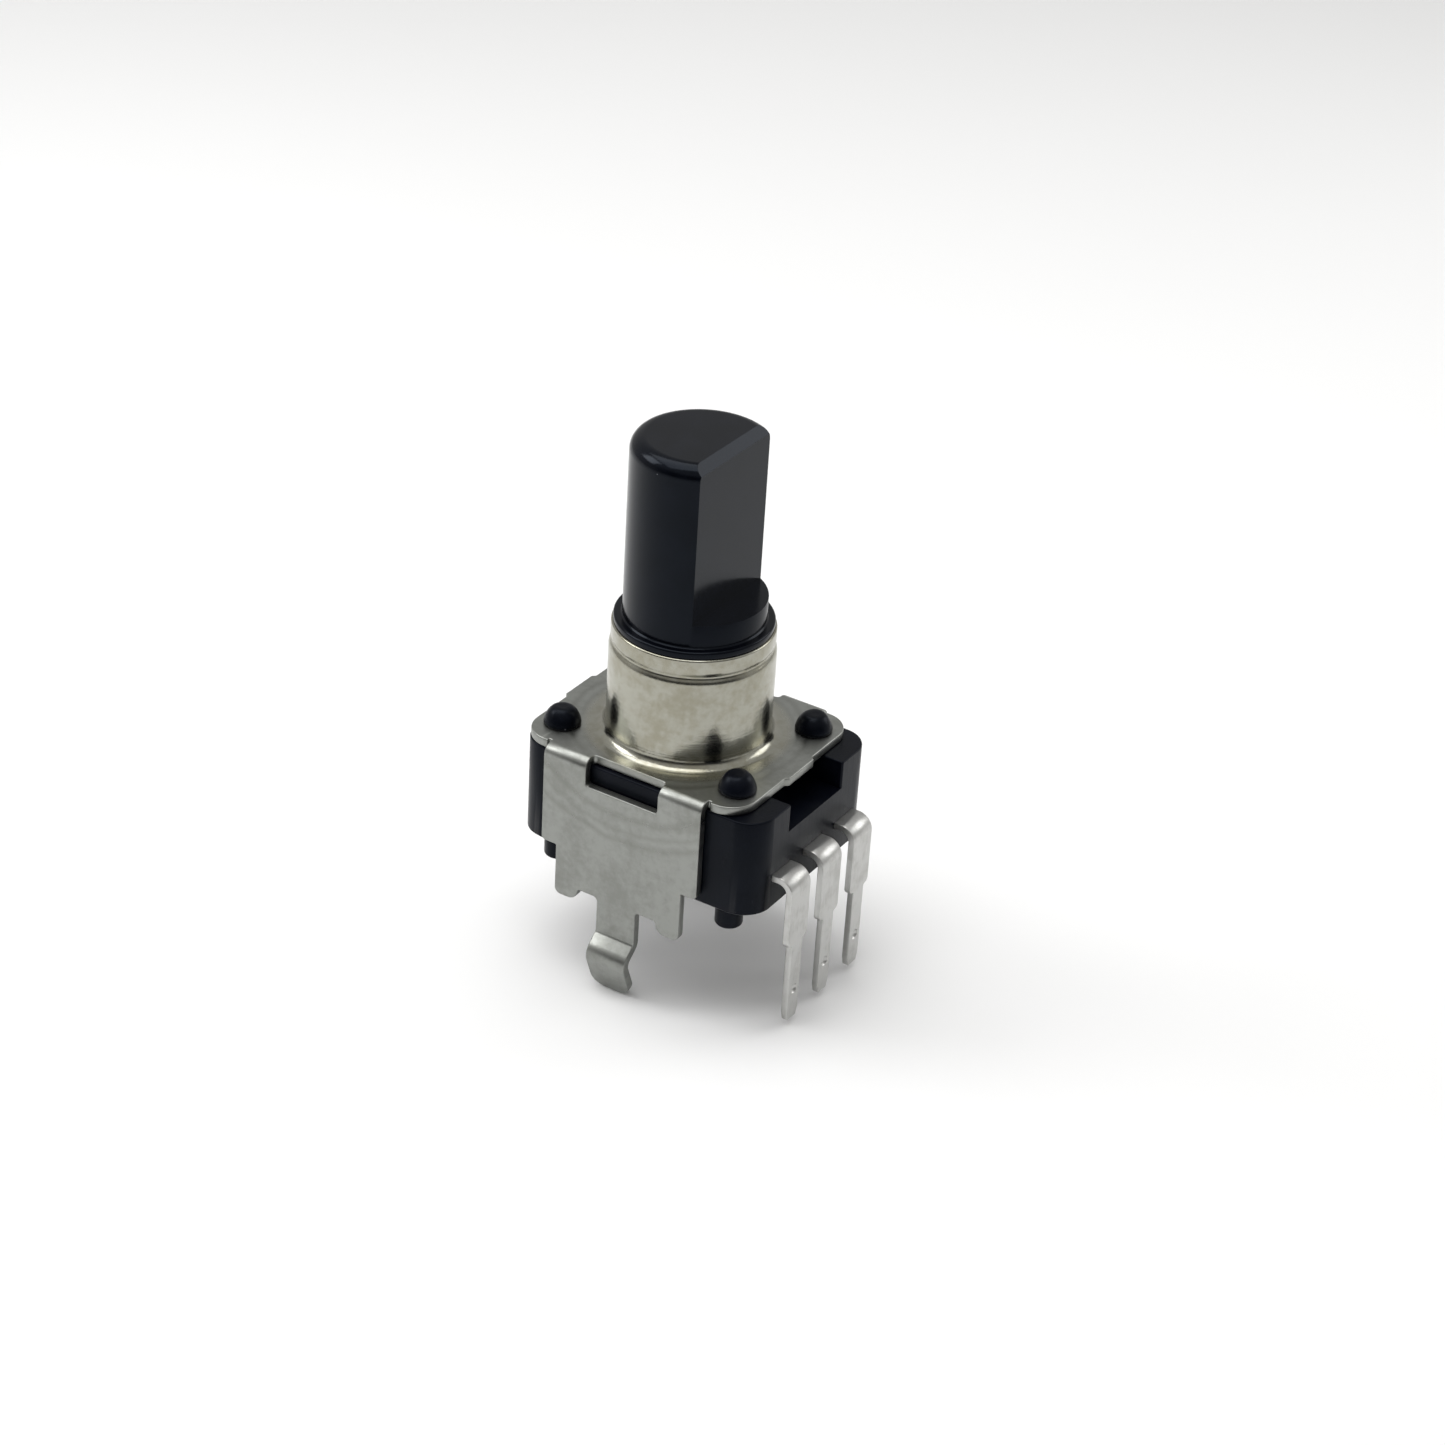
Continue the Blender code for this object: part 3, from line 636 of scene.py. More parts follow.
def carve(mesh: Mesh, steps: Sequence[tuple[Carve, Object]]) -> Mesh:
    """Cut and join solids, in order.

    Args:
        mesh: What is carved.
        steps: What each tool does, and the tool; the tools are used up.

    Returns:
        The carved mesh.
    """
    for what, tool in steps:
        mesh = modified(mesh, "BOOLEAN", operation=what.value, solver="EXACT", object=tool)
        bpy.data.objects.remove(tool, do_unlink=True)
    return mesh


def eased(mesh: Mesh, width: float, flush: Sequence[tuple[int, float]] = ()) -> Mesh:
    """Soften every sharp edge.

    Args:
        mesh: What is softened.
        width: Width of the new facets.
        flush: Planes whose edges stay sharp, such as a seam: an axis number and a place.

    Returns:
        The softened mesh.
    """
    mesh.attributes.new("bevel_weight_edge", "FLOAT", "EDGE")
    work = opened(mesh)
    layer = work.edges.layers.float["bevel_weight_edge"]
    for edge in work.edges:
        on_seam = any(all(abs(v.co[i] - at * MM) < WELD for v in edge.verts) for i, at in flush)
        edge[layer] = float(edge.calc_face_angle(0.0) > EASED_TURN and not on_seam)
    return modified(
        written(work, mesh), "BEVEL", width=width * MM, segments=2, limit_method="WEIGHT",
        use_clamp_overlap=True, miter_outer="MITER_ARC",
    )


def even_light(mesh: Mesh) -> Mesh:
    """Join coplanar facets, drop collapsed ones, and shade smooth with the flats kept flat."""
    work = opened(mesh)
    bmesh.ops.dissolve_degenerate(work, dist=WELD, edges=work.edges)
    bmesh.ops.dissolve_limit(
        work, angle_limit=COPLANAR, verts=work.verts, edges=work.edges, delimit={"UV"}
    )
    written(work, mesh)
    mesh.shade_smooth()
    mesh.set_sharp_from_angle(angle=SHARP_TURN)
    return modified(mesh, "WEIGHTED_NORMAL", mode="FACE_AREA", keep_sharp=True)


def add_piece(
    name: str, mesh: Mesh, body: Body, finish: Finish, nodes: Sequence[str] = ()
) -> Object:
    """Put a finished mesh in the scene as a piece.

    Args:
        name: Name of the piece.
        mesh: Its mesh, in place.
        body: The body it moves with.
        finish: What it is finished in.
        nodes: CAD nodes it stands for.

    Returns:
        The piece.
    """
    mesh = even_light(mesh)
    mesh.name = name
    mesh.materials.clear()
    mesh.materials.append(look_of(finish))
    piece = workpiece(name, mesh)
    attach(piece, body.value)
    if nodes:
        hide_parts(*nodes)
    LOG.info("%s: %d faces on %s", name, len(mesh.polygons), body.value)
    return piece


# ---- rules as node trees


class Rule(Graph):
    """A Geometry Nodes tree with named inputs, which shapes one mesh."""

    def __init__(self, name: str, numbers: Sequence[str], kind: str = "NodeSocketFloat") -> None:
        """Make the tree and its named inputs.

        Args:
            name: Name of the tree.
            numbers: Names of its numbers, between the geometry and the material.
            kind: Socket type of the numbers.
        """
        super().__init__(bpy.data.node_groups.new(name, "GeometryNodeTree"))
        kinds = {"Geometry": "NodeSocketGeometry", **dict.fromkeys(numbers, kind)}
        kinds["Material"] = "NodeSocketMaterial"
        panel = self.tree.interface
        self.identifiers = {}
        for label, socket in kinds.items():
            made = panel.new_socket(label, in_out="INPUT", socket_type=socket)
            self.identifiers[label] = made.identifier
        panel.new_socket("Geometry", in_out="OUTPUT", socket_type="NodeSocketGeometry")
        self.given = self.node("NodeGroupInput").outputs

    def number(self, label: str) -> Value:
        """One of the tree's named numbers."""
        return Value(self, self.given[label])

    def copies(self, points: Link, turn: Link) -> Node:
        """A turned copy of the given mesh on each point."""
        inputs = {"Points": points, "Instance": self.given["Geometry"], "Rotation": turn}
        return self.node("GeometryNodeInstanceOnPoints", None, inputs)

    def raised(self, geometry: Link, chosen: Value, by: Value) -> Node:
        """The geometry with its chosen points moved up."""
        offset = self.node("ShaderNodeCombineXYZ", None, {"Z": by})
        inputs = {"Geometry": geometry, "Selection": chosen, "Offset": offset}
        return self.node("GeometryNodeSetPosition", None, inputs)

    def close(self, geometry: Link) -> None:
        """End the tree in real geometry with its material set."""
        real = self.node("GeometryNodeRealizeInstances", None, {0: geometry})
        inputs = {"Geometry": real, "Material": self.given["Material"]}
        dressed = self.node("GeometryNodeSetMaterial", None, inputs)
        self.node("NodeGroupOutput", None, {0: dressed})

    def shape(self, mesh: Mesh, settings: dict) -> Mesh:
        """Run the tree on a mesh.

        Args:
            mesh: What goes in.
            settings: A value for each named input.

        Returns:
            What comes out, as a plain mesh.
        """
        obj = workpiece(mesh.name, mesh)
        modifier = obj.modifiers.new("rule", "NODES")
        modifier.node_group = self.tree
        for label, value in settings.items():
            modifier[self.identifiers[label]] = value
        return new_mesh(mesh.name, opened(baked(obj)))


class CornerRule(Rule):
    """One copy of a stud at each of four corners, each a little uneven in its own way."""

    SEED = 11

    def __init__(self) -> None:
        """Build the tree."""
        super().__init__("corner_studs", ("Spacing X", "Spacing Y", "Unevenness", "Uneven Above"))
        size = {"Size X": self.given["Spacing X"], "Size Y": self.given["Spacing Y"]}
        grid = self.node("GeometryNodeMeshGrid", None, {**size, "Vertices X": 2, "Vertices Y": 2})
        turn = self.node(
            "FunctionNodeRandomValue",
            {"data_type": "FLOAT_VECTOR"},
            {0: (0.0, 0.0, 0.0), 1: (0.0, 0.0, math.tau), "Seed": self.SEED},
        )
        real = self.node("GeometryNodeRealizeInstances", None, {0: self.copies(grid, turn)})
        place = self.node("GeometryNodeInputPosition")
        wobble = self.noise(self.scaled(place, (1 / MM,) * 3), 1.1, 1.0) - 0.5
        above = (self.split(place)[2] - self.number("Uneven Above")).over(0.0)
        self.close(self.raised(real, above, wobble * self.number("Unevenness")))


class WaveRule(Rule):
    """A rim that waves up and down a whole number of times round its axis."""

    def __init__(self) -> None:
        """Build the tree."""
        super().__init__("waved_rim", ("Waves", "Depth", "Rim Height"))
        x, y, z = self.split(self.node("GeometryNodeInputPosition"))
        wave = (x.angle_to(-y) * self.number("Waves")).cosine() * 0.5 + 0.5
        on_rim = z - self.number("Rim Height") + WELD * 10
        chosen = on_rim.over(0.0) * (WELD * 20 - on_rim).over(0.0)
        self.close(self.raised(self.given["Geometry"], chosen, -(wave * self.number("Depth"))))


class RoundRule(Rule):
    """Copies of one sector, turned round the axis until they close the circle."""

    def __init__(self) -> None:
        """Build the tree."""
        super().__init__("sectors", ("Sectors",), "NodeSocketInt")
        inputs = {"Count": self.given["Sectors"], "Offset": (0.0, 0.0, 0.0)}
        line = self.node("GeometryNodeMeshLine", None, inputs)
        angle = self.value("GeometryNodeInputIndex") * math.tau / self.number("Sectors")
        self.close(self.copies(line, self.node("ShaderNodeCombineXYZ", None, {"Z": angle})))


# ---- folded sheet


@dataclass(frozen=True)
class Span:
    """One straight or bent length of a folded sheet's outer side."""

    start: float
    length: float
    curvature: float
    x: float
    z: float
    heading: float


class FoldLine:
    """The outer side of a folded sheet, followed as lengths and turns from x = 0.

    Positive turns bend the sheet down. A blank that lies along x is folded by carrying
    each of its points to the same distance along this line.
    """

    STEP = math.radians(6)

    def __init__(self, height: float) -> None:
        """Start level, at a height."""
        self.height = self.z = height
        self.spans: list[Span] = []
        self.length = self.heading = self.x = 0.0

    def _go(self, length: float, angle: float) -> "FoldLine":
        """Go on for a length that turns by an angle in all."""
        self.spans.append(Span(self.length, length, angle / length, self.x, self.z, self.heading))
        self.x, self.z = self.at(self.length + length, 0.0)
        self.heading += angle
        self.length += length
        return self

    def straight(self, length: float) -> "FoldLine":
        """Go straight on."""
        return self._go(length, 0.0)

    def turn(self, angle: float, radius: float) -> "FoldLine":
        """Bend by an angle in radians, with a radius on the outer side."""
        return self._go(abs(angle) * radius, angle)

    def at(self, distance: float, depth: float) -> Point:
        """Where a point of the sheet is.

        Args:
            distance: Distance along the sheet.
            depth: Depth below its outer side.

        Returns:
            Its x and z.
        """
        span = next(s for s in reversed(self.spans) if distance >= s.start - 1e-9 or s.start == 0)
        run = distance - span.start
        angle = span.heading + span.curvature * run
        x, z = span.x, span.z
        if span.curvature:
            x += (math.sin(angle) - math.sin(span.heading)) / span.curvature
            z += (math.cos(angle) - math.cos(span.heading)) / span.curvature
        else:
            x += run * math.cos(span.heading)
            z -= run * math.sin(span.heading)
        return x - depth * math.sin(angle), z - depth * math.cos(angle)

    def cuts(self) -> list[float]:
        """Distances where the blank needs an edge: the bends' ends and steps in them."""
        found = set()
        for span in self.spans:
            steps = max(1, round(abs(span.curvature) * span.length / self.STEP))
            found |= {round(span.start + span.length * i / steps, 6) for i in range(steps + 1)}
        return sorted(found - {0.0, round(self.length, 6)})

    def fold(self, mesh: Mesh, both_ways: bool) -> Mesh:
        """Fold a flat blank and note on it where each point lay when flat.

        Args:
            mesh: The blank, its outer side up.
            both_ways: Whether it is folded at -x as well.

        Returns:
            The folded mesh, with the flat places in its map named blank.
        """
        work = opened(mesh)
        for distance in self.cuts():
            for side in (-1, 1) if both_ways else (1,):
                bmesh.ops.bisect_plane(
                    work,
                    geom=work.verts[:] + work.edges[:] + work.faces[:],
                    dist=WELD,
                    plane_co=(side * distance * MM, 0, 0),
                    plane_no=(1, 0, 0),
                )
        flat = work.loops.layers.uv.new("blank")
        for face in work.faces:
            for loop in face.loops:
                loop[flat].uv = (loop.vert.co.x / MM, loop.vert.co.y / MM)
        for vert in work.verts:
            side = math.copysign(1.0, vert.co.x) if both_ways else 1.0
            x, z = self.at(side * vert.co.x / MM, self.height - vert.co.z / MM)
            vert.co.x, vert.co.z = side * x * MM, z * MM
        return new_mesh(mesh.name, work)


# ---- bracket


@dataclass
class Bracket:
    """Stamped sheet: plate, drawn neck, two folded legs with feet and snap-in lugs.

    The groove near the neck's top is given as points of radius and drop below the top.
    """

    sheet: float = 0.4
    edge: float = 0.05
    half_y: float = 5.45
    tab_half: float = 1.1
    tab_reach: float = 0.15
    leg_x: float = 5.0
    leg_half: float = 3.88
    step_z: float = 2.4
    step_radius: float = 0.2
    foot_outer: float = 3.13
    foot_inner: float = 1.92
    foot_radius: float = 0.3
    fin_radius: float = 0.5
    notch_z: float = 0.57
    relief: float = 0.14
    window_half: float = 1.78
    window_low: float = 5.8
    window_x: float = 4.35
    window_round: float = 0.2
    blank_round: float = 0.05
    lug_half: float = 0.965
    kink_z: float = -0.98
    kink_radius: float = 0.2
    kink_angle: float = math.radians(50)
    ramp: float = 0.443
    nose_radius: float = 0.75
    return_angle: float = math.radians(22)
    tip_z: float = -3.7
    tip_radius: float = 0.62
    neck_radius: float = 3.5
    neck_upper: float = 3.44
    bore: float = 3.1
    neck_height: float = 5.1
    neck_fillet: float = 0.45
    groove: tuple[Point, ...] = (
        (3.44, 0.58), (3.432, 0.64), (3.405, 0.72), (3.378, 0.79), (3.37, 0.84),
        (3.385, 0.89), (3.42, 0.95), (3.46, 1.01), (3.488, 1.08), (3.5, 1.16),
    )
    rim_radius: float = 0.09
    stake_hole: float = 0.56
    round_steps: int = 192

    @property
    def bend(self) -> float:
        """Outer radius of the fold between the plate and a leg."""
        return self.leg_x - HALF_X

    def along(self, z: float) -> float:
        """Distance along the blank of a height on the leg."""
        return HALF_X + math.pi / 2 * self.bend + PLATE_TOP - self.bend - z

    def line(self) -> FoldLine:
        """The sheet's path: plate, fold, leg, and the lug's kink, nose and return."""
        line = FoldLine(PLATE_TOP).straight(HALF_X).turn(math.pi / 2, self.bend)
        line.straight(PLATE_TOP - self.bend - self.kink_z)
        line.turn(-self.kink_angle, self.kink_radius).straight(self.ramp)
        line.turn(self.kink_angle + self.return_angle, self.nose_radius)
        return line.straight((line.z - self.tip_z) / math.cos(self.return_angle))

    def half_outline(self, tip: float) -> list[Point]:
        """Blank outline of the +X half, from the back tab round to the front one.

        Args:
            tip: Length of the blank from its middle to the lug's end.

        Returns:
            The points of the half.
        """
        x, y, r, leg, relief = HALF_X, self.half_y, CORNER, self.leg_half, self.relief
        inner, outer, lug, end = self.foot_inner, self.foot_outer, self.lug_half, self.tip_radius
        step, notch, foot = (self.along(z) for z in (self.step_z, self.notch_z, 0))
        sr, fr, fin = self.step_radius, self.foot_radius, self.fin_radius
        quarter = [
            (self.tab_half - self.tab_reach, y + self.tab_reach),
            (self.tab_half, y),
            *arc((x - r, y - r), r, 90, 0, 14),
            (x, leg + relief),
            (x - relief, leg + relief),
            (x - relief, leg),
            *arc((step - sr, leg - sr), sr, 90, 0, 6),
            (step, outer),
            *arc((foot - fr, outer - fr), fr, 90, 0, 7),
            *arc((foot - fin, inner + fin + 0.04), fin, 0, -84, 8),
            (notch, inner),
            *arc((notch + sr, lug + sr), sr, 180, 270, 6),
            *arc((tip - end, lug - end), end, 90, 0, 10),
        ]
        return quarter + [(s, -v) for s, v in reversed(quarter)]

    def neck(self) -> Mesh:
        """The drawn neck, open at its foot, where it meets the plate's opening."""
        top = PLATE_TOP + self.neck_height
        foot = self.neck_radius + self.neck_fillet
        under = PLATE_TOP - self.sheet
        draw = self.neck_radius - self.bore
        rim = self.rim_radius
        profile = [
            (foot + self.edge, under),
            *arc((self.bore + draw, under + draw), draw, 270, 180, 8),
            (self.bore, top - 0.05),
            (self.bore + 0.05, top),
            *arc((self.neck_upper - rim, top - rim), rim, 90, 0, 6),
            *((radius, top - drop) for radius, drop in self.groove),
            *arc((foot, PLATE_TOP + self.neck_fillet), self.neck_fillet, 180, 270, 12),
            (foot + self.edge, PLATE_TOP),
        ]
        return lathe("neck", profile, self.round_steps)

    def join_neck(self, plate: Mesh) -> Mesh:
        """Put the neck in place of the wall of the plate's opening, edge to edge."""
        reach = (self.neck_radius + self.neck_fillet + self.edge * 1.1) * MM
        work = opened(plate)
        wall = [f for f in work.faces if all(v.co.xy.length < reach for v in f.verts)]
        bmesh.ops.delete(work, geom=wall, context="FACES")
        work.from_mesh(self.neck())
        bmesh.ops.remove_doubles(work, verts=work.verts, dist=GAP * MM / 10)
        return new_mesh("bracket", work)

    def build(self) -> Object:
        """Blank it, fold it, draw its neck and put it in the scene."""
        line = self.line()
        half = self.half_outline(line.length)
        outline = soften(half + [(-x, -y) for x, y in half], self.blank_round, 2)
        low, high, wide = self.window_x, self.along(self.window_low), self.window_half
        outlines = [
            outline,
            circle((0.0, 0.0), self.neck_radius + self.neck_fillet, self.round_steps),
            rectangle((low, -wide), (high, wide), self.window_round),
            rectangle((-high, -wide), (-low, wide), self.window_round),
            *(circle(stake, self.stake_hole, 32) for stake in STAKES),
        ]
        blank = slab("bracket", outlines, PLATE_TOP - self.sheet, PLATE_TOP, self.edge)
        mesh = self.join_neck(line.fold(blank, both_ways=True))
        return add_piece("bracket_sheet", mesh, Body.FRAME, PLATED_STEEL, ["bracket"])


# ---- body


@dataclass
class Mouldings:
    """The black housing and the base under it, with the base's stakes and feet.

    A stake's head is given as points of its share of the radius and drop below the crown.
    """

    front: float = -6.4
    back: float = 5.5
    base_low: float = 1.95
    base_chamfer: float = 0.2
    seam: float = 4.4
    top: float = 6.58
    chamber: float = 4.15
    ear_inner: float = 2.05
    wall_top: float = 5.3
    ear_round: float = 0.1
    edge: float = 0.07
    ease: float = 0.035
    stake_radius: float = 0.5
    stake_room: float = 0.06
    head_radius: float = 0.8
    head_height: float = 0.8
    head: tuple[Point, ...] = (
        (0.0, 0.035), (0.22, 0.03), (0.40, 0.035), (0.52, 0.06), (0.63, 0.12),
        (0.73, 0.21), (0.83, 0.33), (0.91, 0.46), (0.97, 0.59),
    )
    unevenness: float = 0.09
    boss_radius: float = 0.6
    boss_low: float = 0.45
    boss_round: float = 0.15
    spring_half: float = 0.5
    spring_reach: float = 4.5
    spring_sheet: float = 0.14
    slot_half: float = 0.77
    slot_top: float = 3.77
    slot_low: float = 3.43
    slot_inner: float = -2.23
    pockets: tuple[Point, Point, Point] = ((-2.5, -3.5), (0.0, -4.1), (2.5, -3.5))
    pocket_length: float = 2.4

    def corners(self) -> list[Point]:
        """The body's round corners seen from above, from the front right one onwards."""
        x, low, high = HALF_X - CORNER, self.front + CORNER, self.back - CORNER
        centres = ((x, low), (x, high), (-x, high), (-x, low))
        turns = zip(centres, (-90, 0, 90, 180))
        return [p for centre, start in turns for p in arc(centre, CORNER, start, start + 90, 14)]

    def housing_plan(self) -> list[Point]:
        """Outline of the housing: a ring round the chamber, open between its two ears."""
        x = self.ear_inner
        mouth = math.degrees(math.asin(x / self.chamber))
        outer = [(x, self.front), *self.corners(), (-x, self.front)]
        inner = arc((0.0, 0.0), self.chamber, 270 - mouth, mouth - 90, 120)
        return soften(outer + inner, self.ear_round)

    def build_housing(self) -> Object:
        """The ring with its ears, the stakes' holes and the click spring's two keys."""
        holes = [circle(stake, self.stake_radius + self.stake_room, 24) for stake in STAKES]
        outlines = [self.housing_plan(), *holes]
        mesh = slab("housing", outlines, self.seam - 0.3, self.top, self.edge)
        half, reach = self.spring_half + GAP, self.spring_reach + GAP
        deep = self.top - self.spring_sheet - 2 * GAP
        keys = block("keys", (-half, -reach, deep), (half, reach, self.top + 1))
        level = block("level", (-9, -9, self.seam - 1), (9, 9, self.seam))
        mesh = carve(mesh, [(Carve.CUT, keys), (Carve.CUT, level)])
        return add_piece("housing_ring", mesh, Body.FRAME, BLACK_RESIN, ["housing"])

    def build_base(self) -> Object:
        """The floor and front wall, with the terminals' slots and the brushes' pockets."""
        low, chamfer, seam = self.base_low, self.base_chamfer, self.seam
        work = bmesh.new()
        rims = []
        for inset, z in ((chamfer, low), (0.0, low + chamfer), (0.0, seam)):
            plan = [[(v - math.copysign(inset, v)) * MM for v in p] for p in self.corners()]
            rims.append([work.verts.new((*place, z * MM)) for place in plan])
        for lower, upper in zip(rims, rims[1:]):
            for i in range(len(lower)):
                work.faces.new((lower[i - 1], lower[i], upper[i], upper[i - 1]))
        work.faces.new(rims[0])
        work.faces.new(rims[-1])
        x = self.ear_inner + self.ear_round
        back = -self.chamber - 0.25
        wall = block("wall", (-x, self.front, seam - 0.5), (x, back, self.wall_top))
        steps = [(Carve.JOIN, wall)]
        for centre, start in self.pockets:
            left, right = centre - self.slot_half, centre + self.slot_half
            end, floor = start + self.pocket_length, self.slot_top - 2 * GAP
            boxes = (
                ((left, self.front - 1, self.slot_low), (right, self.slot_inner, self.slot_top)),
                ((left, start, floor), (right, end, seam + 0.5)),
            )
            steps += [(Carve.CUT, block("pocket", *box)) for box in boxes]
        flush = [(2, seam), (0, x), (0, -x)]
        mesh = eased(carve(new_mesh("base", work), steps), self.ease, flush)
        return add_piece("base_floor", mesh, Body.FRAME, BLACK_RESIN, ["base"])

    def build_studs(self) -> None:
        """The four stakes with their formed heads, and the four feet, as two pieces."""
        head, root = PLATE_TOP + GAP, self.base_low + 1.0
        crown, r = head + self.head_height, self.head_radius
        stake = [
            *((r * share, crown - drop) for share, drop in self.head),
            (r, head + 0.11),
            (r, head + 0.05),
            (r - 0.04, head),
            (self.stake_radius, head),
            (self.stake_radius, root),
            (0.0, root),
        ]
        r, low, edge = self.boss_radius, self.boss_low, self.boss_round
        foot = [
            (0.0, root),
            (r, root),
            (r, low + edge),
            *arc((r - edge, low + edge), edge, 0, -90, 5),
            (0.0, low),
        ]
        rule = CornerRule()
        nowhere = PLATE_TOP + 9
        for name, profile, above in (("stakes", stake, head + 0.1), ("feet", foot, nowhere)):
            settings = {
                "Spacing X": 2 * STAKE[0] * MM,
                "Spacing Y": 2 * STAKE[1] * MM,
                "Unevenness": self.unevenness * MM,
                "Uneven Above": above * MM,
                "Material": look_of(BLACK_RESIN),
            }
            mesh = rule.shape(lathe(name, profile, 32), settings)
            add_piece(name, mesh, Body.FRAME, BLACK_RESIN)


# ---- terminals


@dataclass
class Terminals:
    """Three flat pins: a tail in the base, one bend, shoulders and a dimpled pin."""

    pitch: float = 2.5
    sheet: float = 0.3
    edge: float = 0.04
    top: float = 3.75
    outer_y: float = -7.43
    bend_radius: float = 0.7
    inner_y: float = -2.25
    half: float = 0.75
    shoulder_z: float = 0.6
    pin_half: float = 0.43
    tip_half: float = 0.32
    taper: float = 0.45
    blank_round: float = 0.08
    tip_z: float = -3.4
    dimple_z: float = -1.9
    dimple_radius: float = 0.24
    dimple_depth: float = 0.13
    names: tuple[str, str, str] = ("terminal_a", "terminal_common", "terminal_b")

    def blank(self, tip: float) -> Mesh:
        """The flat blank along +X, its outer side up, out to the tip's distance."""
        shoulder = tip - (self.shoulder_z - self.tip_z)
        half = [
            (-self.inner_y, self.half),
            (shoulder - 0.06, self.half),
            (shoulder + 0.1, self.half - 0.1),
            (shoulder + 0.16, self.pin_half),
            (tip - self.taper, self.pin_half),
            (tip, self.tip_half),
        ]
        outline = soften(half + [(s, -y) for s, y in reversed(half)], self.blank_round)
        return slab("terminal", [outline], self.top - self.sheet, self.top, self.edge)

    def dimple(self, place: float) -> Object:
        """The ball that dents the pin at a place along the row."""
        r, depth = self.dimple_radius, self.dimple_depth
        radius = (r * r + depth * depth) / (2 * depth)
        work = bmesh.new()
        bmesh.ops.create_icosphere(work, subdivisions=4, radius=radius * MM)
        middle = Vector((place, self.outer_y - radius + depth, self.dimple_z))
        bmesh.ops.translate(work, vec=middle * MM, verts=work.verts)
        return workpiece("dimple", new_mesh("dimple", work))

    def build(self) -> None:
        """Fold the three blanks, dent each pin and put them in the scene."""
        line = FoldLine(self.top).straight(-self.outer_y - self.bend_radius)
        line.turn(math.pi / 2, self.bend_radius)
        line.straight(line.z - self.tip_z)
        for place, name in zip((-self.pitch, 0.0, self.pitch), self.names):
            mesh = line.fold(self.blank(line.length), both_ways=False)
            turn = Matrix.Rotation(-math.pi / 2, 4, "Z")
            mesh.transform(Matrix.Translation((place * MM, 0, 0)) @ turn)
            mesh = carve(mesh, [(Carve.CUT, self.dimple(place))])
            add_piece(name + "_pin", mesh, Body.FRAME, TINNED_BRASS, [name])


# ---- turning parts


@dataclass
class Shaft:
    """Insulated shaft: D-cut above a collar, a journal, a hexagon and a spigot."""

    radius: float = 3.0
    tip_z: float = 20.5
    tip_fillet: float = 0.65
    collar: float = 3.36
    collar_low: float = 12.12
    collar_high: float = 12.42
    journal: float = 3.05
    shoulder: float = 6.62
    flat_y: float = -1.5
    flat_low: float = 13.45
    bevel_inset: float = 0.38
    bevel_drop: float = 0.38
    ease: float = 0.045
    hex_flats: float = 2.6
    hex_low: float = 5.5
    spigot: float = 0.95
    spigot_low: float = 4.62
    steps: int = 192

    def build(self) -> Object:
        """Turn it, cut its flat and put it in the scene."""
        f, collar, high = self.tip_fillet, self.collar, self.collar_high
        profile = [
            (0.0, self.tip_z),
            *arc((self.radius - f, self.tip_z - f), f, 90, 0, 12),
            (self.radius, high + 0.06),
            (self.radius + 0.06, high),
            *arc((collar - 0.1, high - 0.1), 0.1, 90, 0, 4),
            (collar, self.collar_low),
            (self.journal, self.collar_low),
            (self.journal, self.shoulder + 0.08),
            (self.journal - 0.08, self.shoulder),
            (self.spigot, self.shoulder),
            (self.spigot, self.spigot_low + 0.1),
            (self.spigot - 0.1, self.spigot_low),
            (0.0, self.spigot_low),
        ]
        key = hexagon("hex", self.hex_flats, self.hex_low, self.shoulder + 0.5)
        wide = self.radius + 1
        flat = block("flat", (-wide, -wide, self.flat_low), (wide, self.flat_y, self.tip_z + 1))
        inset, drop = self.bevel_inset, self.bevel_drop
        slope = math.atan2(drop, inset)
        middle = Vector((0, self.flat_y + inset / 2, self.tip_z - drop / 2))
        middle += wide * Vector((0, -math.sin(slope), math.cos(slope)))
        reach = Vector((wide, wide, wide))
        chamfer = block("chamfer", middle - reach, middle + reach, Matrix.Rotation(slope, 4, "X"))
        steps = [(Carve.JOIN, key), (Carve.CUT, flat), (Carve.CUT, chamfer)]
        mesh = eased(carve(lathe("shaft", profile, self.steps), steps), self.ease)
        return add_piece("shaft_turned", mesh, Body.SPINDLE, SHAFT_RESIN, ["shaft"])


